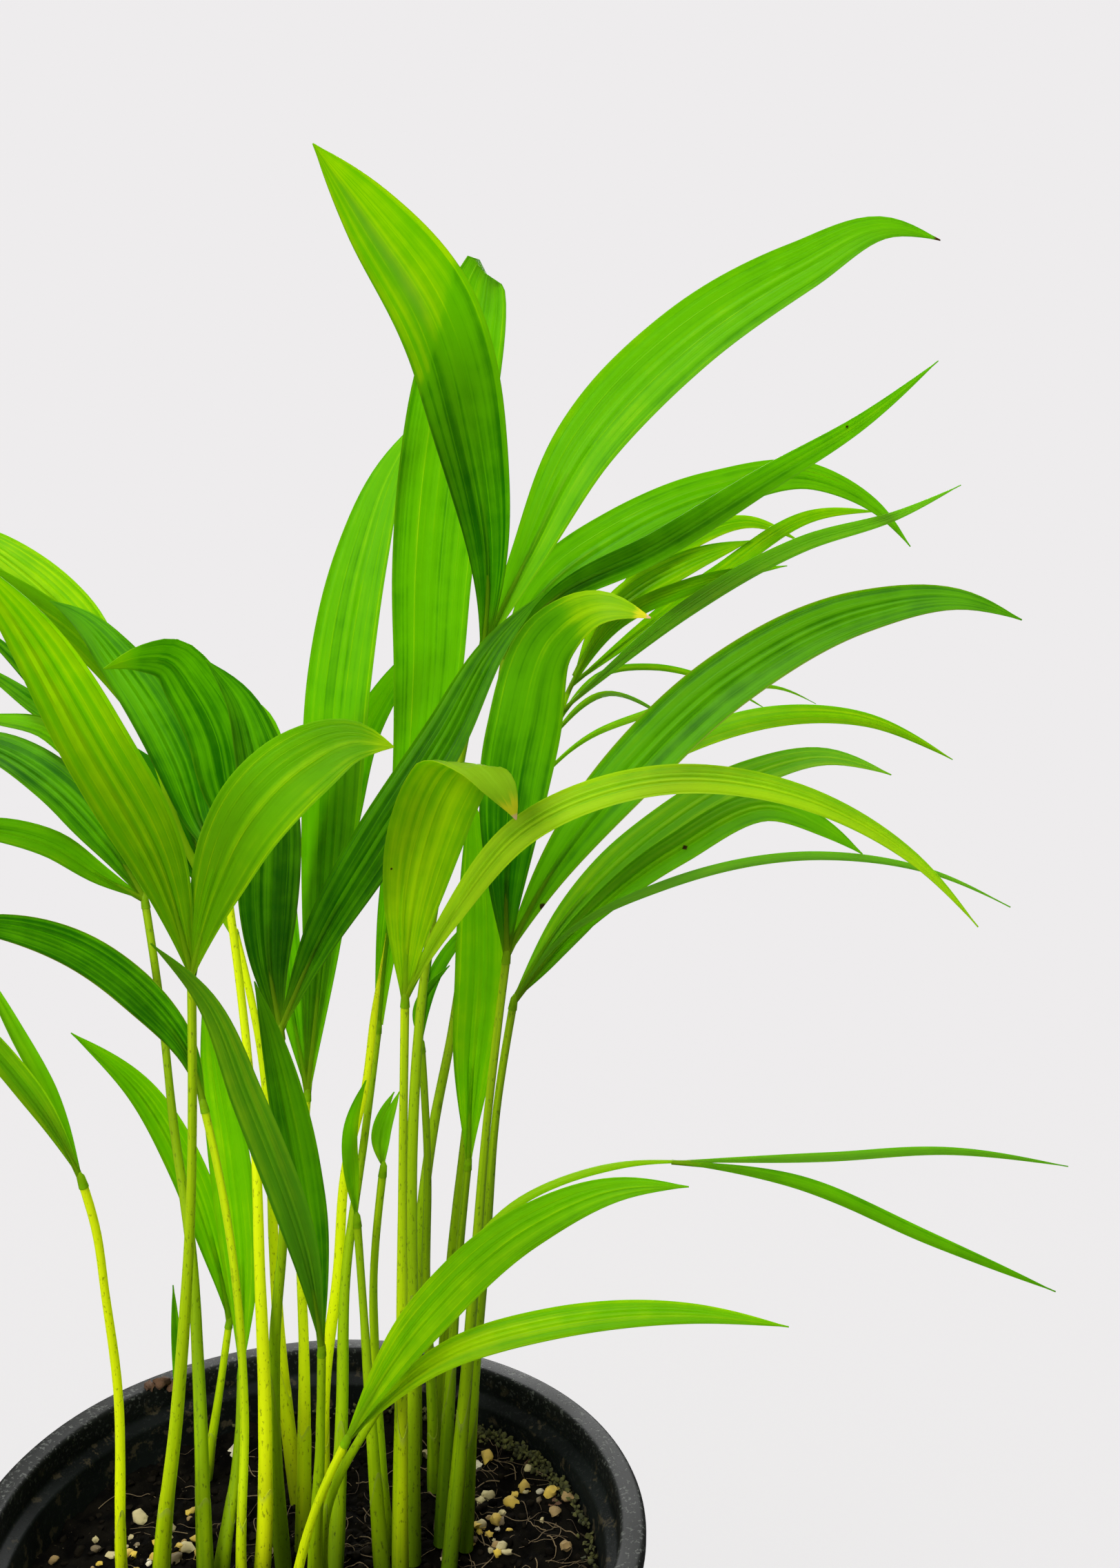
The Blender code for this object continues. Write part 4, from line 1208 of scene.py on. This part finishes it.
def make_leaf_flesh(rib_grain, flecks):
    """A leaflet's colour by reflected light and by light that comes through it."""
    shades = ["Deep", "Middle", "Bright"]
    group, given, out = new_group(
        "leaf_flesh",
        [(lead + shade, "colour") for lead in ("", "Through ") for shade in shades]
        + [("Ribs", "value")],
        [("Surface", "colour"), ("Through", "colour"), ("Roughness", "value"), ("Height", "value")])
    split = put(group, "SeparateXYZ", {0: put(group, "UVMap", uv_map="grain_map").outputs[0]})
    across, along = split.outputs[0], split.outputs[1]
    tone, seed, width = (painted(group, name) for name in ("tone", "seed", "wide"))
    grain = place_group(group, rib_grain, {"Across": across, "Along": along, "Seed": seed,
                                           "Ribs": given.outputs["Ribs"], "Width": width})
    specks = place_group(group, flecks, {"Vector": own_place(group), "Size": 0.0009, "Amount": 0.12})
    level = swung(group, tone, grain["Bands"], 0.3)
    level = times_plus(group, grain["Lines"], 0.24, level)
    off_middle = maths(group, "ABSOLUTE", times_plus(group, across, 2.0, -1.0))
    midrib = times(group, ranged(group, off_middle, 0.09, 0.0), times_plus(group, width, 0.16, 0.02))
    level = maths(group, "ADD", level, midrib)
    level = swung(group, level, specks["Mottle"], 0.3)
    level = swung(group, level, grain["Fibres"], 0.22, clamp=True)
    surface = three_tone(group, level, *(given.outputs[shade] for shade in shades))
    through = three_tone(group, level, *(given.outputs["Through " + shade] for shade in shades))
    stalk, bloom, under, edge = (painted(group, name) for name in ("stalk", "bloom", "under", "edge"))
    yellow, scorch, spot = (painted(group, name) for name in ("yellow", "scorch", "spot"))

    def both(share, on_surface, in_through):
        nonlocal surface, through
        surface = blended(group, share, surface, on_surface)
        through = blended(group, share, through, in_through)

    both(times(group, under, 0.35), colour(0.10, 0.24, 0.03), colour(0.2, 0.5, 0.01))
    # painted sheen: a pale grey-green cast where light glances off the leaflet
    both(times(group, bloom, 0.55), colour(0.2, 0.32, 0.09), colour(0.3, 0.6, 0.05))
    both(times(group, stalk, 0.85), colour(0.26, 0.42, 0.005), colour(0.5, 0.78, 0.0))
    rim = times(group, ranged(group, off_middle, 0.94, 0.985), edge)
    both(rim, colour(0.3, 0.3, 0.03), colour(0.55, 0.6, 0.02))
    yellowed = ranged(group, times_plus(group, grain["Bands"], 0.4, yellow), 0.35, 1.0)
    both(yellowed, colour(0.62, 0.6, 0.02), colour(0.9, 0.9, 0.01))
    end = ranged(group, times_plus(group, specks["Mottle"], 0.5, scorch), 0.6, 1.0)
    pale = ranged(group, yellow, 0.2, 0.6)
    both(end, blended(group, pale, colour(0.13, 0.05, 0.012), colour(0.8, 0.56, 0.36)),
         blended(group, pale, colour(0.1, 0.04, 0.0), colour(0.85, 0.6, 0.4)))
    blot = ranged(group, times_plus(group, specks["Mottle"], 1.2, spot), 1.45, 1.05)
    both(blot, colour(0.05, 0.03, 0.005), colour(0.05, 0.03, 0.0))
    both(times(group, specks["Mask"], 0.5), colour(0.06, 0.07, 0.005), colour(0.1, 0.15, 0.0))
    height = times_plus(group, grain["Lines"], 0.6, times(group, grain["Fibres"], 0.55))
    group.links.new(surface, out.inputs["Surface"])
    group.links.new(through, out.inputs["Through"])
    group.links.new(times_plus(group, grain["Fibres"], 0.18, 0.34), out.inputs["Roughness"])
    group.links.new(times_plus(group, grain["Bands"], 0.5, height), out.inputs["Height"])
    return group


def fresh_material(name):
    made = bpy.data.materials.new(name)
    made.use_nodes = True
    tree = made.node_tree
    tree.nodes.clear()
    return made, tree, put(tree, "OutputMaterial")


def skin_shader(tree, surface, roughness, normal, level):
    return put(tree, "BsdfPrincipled", {"Base Color": surface, "Roughness": roughness,
                                        "Normal": normal, "Specular IOR Level": level}).outputs[0]


def glowing(tree, out, skin, through, share):
    """A skin that also lets light through, as thin leaves and stems do."""
    glow = put(tree, "BsdfTranslucent", {"Color": through}).outputs[0]
    mixed = put(tree, "MixShader", {0: share, 1: skin, 2: glow})
    tree.links.new(mixed.outputs[0], out.inputs["Surface"])


def leaf_material(name, flesh, reflected, through, ribs, share, level):
    made, tree, out = fresh_material(name)
    shades = dict(zip(["Deep", "Middle", "Bright"], reflected))
    shades.update(zip(["Through Deep", "Through Middle", "Through Bright"], through))
    body = place_group(tree, flesh, {**shades, "Ribs": ribs})
    bump = bumped(tree, body["Height"], 0.55, 0.0003)
    skin = skin_shader(tree, body["Surface"], body["Roughness"], bump, level)
    glowing(tree, out, skin, body["Through"], share)
    return made


def stem_material(name, rib_grain, flecks, shades, share):
    """A ribbed and flecked stem, darker green towards its foot, with a dry lip on its sheath."""
    made, tree, out = fresh_material(name)
    split = put(tree, "SeparateXYZ", {0: put(tree, "UVMap", uv_map="grain_map").outputs[0]})
    across, along = split.outputs[0], split.outputs[1]
    tone, seed, sheath = (painted(tree, name) for name in ("tone", "seed", "sheath"))
    grain = place_group(tree, rib_grain, {"Across": across, "Along": along, "Seed": seed,
                                          "Ribs": 5.0, "Width": 0.25})
    long = scaled(tree, own_place(tree), (1.0, 1.0, 0.35))
    specks = place_group(tree, flecks, {"Vector": long, "Size": 0.0007, "Amount": 0.62})
    blotches = place_group(tree, flecks, {"Vector": long, "Size": 0.004, "Amount": 0.45})
    level = swung(tree, tone, grain["Bands"], 0.2)
    level = swung(tree, level, blotches["Mottle"], 0.5)
    level = swung(tree, level, grain["Fibres"], 0.2, clamp=True)
    skin = three_tone(tree, level, *shades)
    # darker green towards the foot
    foot = ranged(tree, along, 0.22, 0.0)
    skin = blended(tree, times(tree, foot, 0.72), skin, colour(0.055, 0.125, 0.002))
    flecked = times(tree, specks["Mask"], times_plus(tree, foot, 0.35, 0.5))
    skin = blended(tree, flecked, skin, colour(0.05, 0.075, 0.004))
    skin = blended(tree, times(tree, blotches["Mask"], 0.34), skin, colour(0.09, 0.13, 0.004))
    dry = ranged(tree, times_plus(tree, blotches["Mottle"], 0.35, sheath), 0.85, 1.2)
    skin = blended(tree, times(tree, dry, 0.35), skin, colour(0.4, 0.44, 0.09))
    height = times_plus(tree, grain["Fibres"], 0.8, times(tree, specks["Mask"], -0.4))
    roughness = times_plus(tree, grain["Fibres"], 0.2, 0.38)
    bump = bumped(tree, height, 0.5, 0.00025)
    glowing(tree, out, skin_shader(tree, skin, roughness, bump, 0.25), skin, share)
    return made


def pot_material(flecks):
    """Moulded black plastic, greyed and scuffed on its lip, with dust and soil marks inside."""
    made, tree, out = fresh_material("pot_plastic")
    where = own_place(tree)
    lip, inside = painted(tree, "lip"), painted(tree, "inside")
    scuffs = place_group(tree, flecks, {"Vector": where, "Size": 0.0011, "Amount": 0.75})
    dust = place_group(tree, flecks, {"Vector": where, "Size": 0.0045, "Amount": 0.7})
    streaks = clouds(tree, scaled(tree, where, (60.0, 60.0, 900.0)), detail=4.0)
    base = blended(tree, ranged(tree, dust["Mottle"], 0.35, 0.7),
                   colour(0.0028, 0.0036, 0.0033), colour(0.006, 0.0078, 0.007))
    greyed = times(tree, lip, ranged(tree, dust["Mottle"], 0.25, 0.65, 0.35, 1.0))
    base = blended(tree, greyed, base, colour(0.008, 0.0088, 0.0076))
    worn = times(tree, scuffs["Mask"], times_plus(tree, lip, 0.5, 0.05))
    base = blended(tree, worn, base, colour(0.085, 0.09, 0.08))
    soiled = times(tree, inside, times(tree, dust["Mask"], 0.5))
    base = blended(tree, soiled, base, colour(0.05, 0.04, 0.022))
    height = times_plus(tree, scuffs["Mask"], -0.6, times(tree, streaks, 0.5))
    roughness = times_plus(tree, dust["Mottle"], 0.3, 0.34, clamp=True)
    skin = skin_shader(tree, base, roughness, bumped(tree, height, 0.35, 0.0002), 0.05)
    tree.links.new(skin, out.inputs["Surface"])
    return made


def ground_material(name, flecks, shades, size, pale_amount, by_tone=0.0, level=0.3):
    """Soil, roots, moss or bark: two mottled colours, pale flecks, and each lump's own tone."""
    made, tree, out = fresh_material(name)
    dark, light, pale = shades
    where = own_place(tree)
    grains = place_group(tree, flecks, {"Vector": where, "Size": size, "Amount": pale_amount})
    share = ranged(tree, grains["Mottle"], 0.32, 0.68)
    if by_tone:
        share = times_plus(tree, painted(tree, "tone"), by_tone, times(tree, share, 1 - by_tone))
    body = blended(tree, share, dark, light)
    body = blended(tree, grains["Mask"], body, pale)
    bump = bumped(tree, clouds(tree, where, 0.8 / size, 5.0, 0.7), 0.8, size * 0.5)
    roughness = times_plus(tree, grains["Mottle"], 0.1, 0.9)
    tree.links.new(skin_shader(tree, body, roughness, bump, level), out.inputs["Surface"])
    return made


def grit_material(flecks):
    """Grains of pumice, yellow sand and brown stone, each with its own colour."""
    made, tree, out = fresh_material("grit")
    grains = place_group(tree, flecks, {"Vector": own_place(tree), "Size": 0.0006, "Amount": 0.5})
    kinds = put(tree, "ValToRGB", {0: painted(tree, "tone")})
    ramp = kinds.color_ramp
    ramp.interpolation = "CONSTANT"
    stops = [(0.0, colour(0.36, 0.31, 0.15)), (0.22, colour(0.42, 0.29, 0.04)),
             (0.45, colour(0.2, 0.13, 0.045)), (0.62, colour(0.5, 0.46, 0.32)),
             (0.8, colour(0.44, 0.31, 0.03)), (0.92, colour(0.1, 0.075, 0.04))]
    ramp.elements[0].position, ramp.elements[0].color = stops[0]
    ramp.elements[1].position, ramp.elements[1].color = stops[1]
    for position, stop_colour in stops[2:]:
        ramp.elements.new(position).color = stop_colour
    dusted = ranged(tree, grains["Mottle"], 0.3, 0.7, 0.0, 0.45)
    body = blended(tree, dusted, kinds.outputs[0], colour(0.12, 0.09, 0.04))
    body = blended(tree, times(tree, grains["Mask"], 0.6), body, colour(0.05, 0.035, 0.02))
    skin = skin_shader(tree, body, 0.85, bumped(tree, grains["Mottle"], 0.9, 0.0004), 0.3)
    tree.links.new(skin, out.inputs["Surface"])
    return made


# deep, middle and bright; ribs; the share of light let through; and the gloss
LEAF_FINISHES = {
    "green_leaf": ((colour(0.016, 0.083, 0.0), colour(0.09, 0.27, 0.0), colour(0.29, 0.465, 0.001)),
                   6.0, 0.6, 0.08),
    "young_leaf": ((colour(0.028, 0.112, 0.0), colour(0.136, 0.33, 0.0), colour(0.36, 0.535, 0.001)),
                   7.0, 0.6, 0.08),
    "dark_leaf": ((colour(0.012, 0.068, 0.0), colour(0.075, 0.243, 0.0), colour(0.24, 0.42, 0.001)),
                  6.0, 0.55, 0.1),
}
LIGHT_THROUGH_LEAF = (colour(0.09, 0.42, 0.0), colour(0.4, 0.79, 0.0), colour(0.71, 0.935, 0.0))

# dark, middle and bright, and the share of light let through
STEM_FINISHES = {
    "green_stem": ((colour(0.1, 0.22, 0.0), colour(0.36, 0.56, 0.0), colour(0.7, 0.86, 0.001)), 0.35),
    "young_stem": ((colour(0.2, 0.36, 0.0), colour(0.5, 0.7, 0.0), colour(0.84, 0.93, 0.002)), 0.4),
}

# dark, light and fleck colour, with the size in metres and the amount of the flecks, and how far
# each lump's own tone and its gloss go where they differ from ground_material's
GROUND_FINISHES = {
    "potting_soil": dict(
        shades=(colour(0.001, 0.0009, 0.0007), colour(0.004, 0.0034, 0.0022), colour(0.06, 0.048, 0.028)),
        size=0.0009, pale_amount=0.36, level=0.02),
    "soil_crumbs": dict(
        shades=(colour(0.001, 0.0009, 0.0007), colour(0.0085, 0.0066, 0.004), colour(0.05, 0.035, 0.02)),
        size=0.0007, pale_amount=0.3, by_tone=0.6, level=0.02),
    "root_fibre": dict(
        shades=(colour(0.02, 0.012, 0.006), colour(0.16, 0.115, 0.055), colour(0.1, 0.07, 0.04)),
        size=0.0008, pale_amount=0.4, by_tone=0.7),
    "moss": dict(
        shades=(colour(0.012, 0.014, 0.004), colour(0.07, 0.07, 0.014), colour(0.16, 0.15, 0.05)),
        size=0.0007, pale_amount=0.4, by_tone=0.6),
    "bark": dict(
        shades=(colour(0.02, 0.01, 0.005), colour(0.11, 0.055, 0.025), colour(0.18, 0.11, 0.06)),
        size=0.0009, pale_amount=0.4, by_tone=0.4),
}


def make_looks():
    ribs, flecks = make_rib_grain(), make_flecks()
    flesh = make_leaf_flesh(ribs, flecks)
    looks = {"pot_plastic": pot_material(flecks), "grit": grit_material(flecks)}
    for name, (reflected, rib_count, share, level) in LEAF_FINISHES.items():
        looks[name] = leaf_material(
            name, flesh, reflected, LIGHT_THROUGH_LEAF, rib_count, share, level)
    for name, (shades, share) in STEM_FINISHES.items():
        looks[name] = stem_material(name, ribs, flecks, shades, share)
    for name, finish in GROUND_FINISHES.items():
        looks[name] = ground_material(name, flecks, **finish)
    return looks


# ---- studio ---------------------------------------------------------------------------------------
PALE = (0.855, 0.839, 0.847)
ROOM_LIGHT = 0.46  # how bright the room is as a light, beside how bright it looks
ROOM_GLOSS = 0.16  # how bright it looks in a gloss
FLOOR_SHARE = 0.8  # how much of the room's light the floor card throws back
FLOOR_REACH = 14.0
PLANT_MIDDLE = (0.03, 0.0, 0.34)
# each soft box: where it stands, its side in metres and its power in watts
SOFT_BOXES = {
    "window_behind": ((0.25, 1.5, 0.8), 0.9, 38),
    "soft_front": ((-0.9, -1.2, 1.3), 0.9, 37),
    "soft_top": ((-0.2, -0.1, 1.8), 0.8, 22),
}
CAMERA_AT = (0, -0.365, 0.407)
CAMERA_DOWN = 10.8   # degrees below level
CAMERA_RIGHT = 10.0  # degrees to the right of straight ahead
FILM_WIDTH = 36.0
FOCAL_LENGTH = 36.4276


def area_light(name, at, size, power, floor_rule):
    """A soft box that lights the plant and leaves the floor card to the room's own light."""
    lamp = bpy.data.lights.new(name, "AREA")
    lamp.shape, lamp.size, lamp.size_y = "RECTANGLE", size, size
    lamp.energy = power
    made = bpy.data.objects.new(name, lamp)
    made.location = at
    towards = Vector(PLANT_MIDDLE) - Vector(at)
    made.rotation_euler = towards.to_track_quat("-Z", "Y").to_euler()
    made.visible_camera = False
    bpy.context.scene.collection.objects.link(made)
    made.light_linking.receiver_collection = floor_rule


def make_room():
    world = bpy.data.worlds.new("pale_room")
    world.use_nodes = True
    tree = world.node_tree
    tree.nodes.clear()
    path = put(tree, "LightPath")
    light, gloss, shown = (
        put(tree, "Background", {0: (*PALE, 1), 1: strength}).outputs[0]
        for strength in (ROOM_LIGHT, ROOM_GLOSS, 1.0))
    lit = put(tree, "MixShader", {0: path.outputs["Is Glossy Ray"], 1: light, 2: gloss})
    seen = put(tree, "MixShader", {0: path.outputs["Is Camera Ray"], 1: lit.outputs[0], 2: shown})
    put(tree, "OutputWorld", {0: seen.outputs[0]})
    bpy.context.scene.world = world


def make_floor():
    mesh = bpy.data.meshes.new("floor")
    corners = [(x * FLOOR_REACH, y * FLOOR_REACH, 0) for x, y in ((-1, -1), (1, -1), (1, 1), (-1, 1))]
    mesh.from_pydata(corners, [], [(0, 1, 2, 3)])
    made, tree, out = fresh_material("floor_card")
    skin = put(tree, "BsdfDiffuse", {0: (*[FLOOR_SHARE] * 3, 1)})
    glow = put(tree, "Emission", {0: (*PALE, 1), 1: 1 - FLOOR_SHARE * ROOM_LIGHT})
    path = put(tree, "LightPath")
    dark = put(tree, "Emission", {0: (0, 0, 0, 1), 1: 0.0})
    shown = put(tree, "MixShader", {0: path.outputs["Is Camera Ray"], 1: dark.outputs[0],
                                    2: glow.outputs[0]})
    total = put(tree, "AddShader", {0: skin.outputs[0], 1: shown.outputs[0]})
    tree.links.new(total.outputs[0], out.inputs["Surface"])
    mesh.materials.append(made)
    floor = bpy.data.objects.new("floor", mesh)
    floor.visible_glossy = False
    bpy.context.scene.collection.objects.link(floor)
    rule = bpy.data.collections.new("floor_rule")
    rule.objects.link(floor)
    rule.collection_objects[0].light_linking.link_state = "EXCLUDE"
    return rule


def make_camera():
    lens = bpy.data.cameras.new("camera")
    lens.sensor_fit = "AUTO"
    lens.sensor_width = FILM_WIDTH
    lens.lens = FOCAL_LENGTH
    lens.clip_start, lens.clip_end = 0.01, 60
    camera = bpy.data.objects.new("camera", lens)
    camera.location = CAMERA_AT
    camera.rotation_euler = (math.radians(90 - CAMERA_DOWN), 0, math.radians(-CAMERA_RIGHT))
    bpy.context.scene.collection.objects.link(camera)
    bpy.context.scene.camera = camera


def make_studio():
    bpy.context.scene.view_settings.view_transform = "Standard"
    make_room()
    rule = make_floor()
    for name, (at, size, power) in SOFT_BOXES.items():
        area_light(name, at, size, power, rule)
    make_camera()


LOOKS = make_looks()
make_pot()
make_soil()
make_soil_litter()
for frond_name, frond_table in FRONDS.items():
    grow_stem(frond_name, frond_table)
    if frond_table["blades"]:
        grow_leaf(frond_name, frond_table)
make_studio()

bpy.context.view_layer.update()
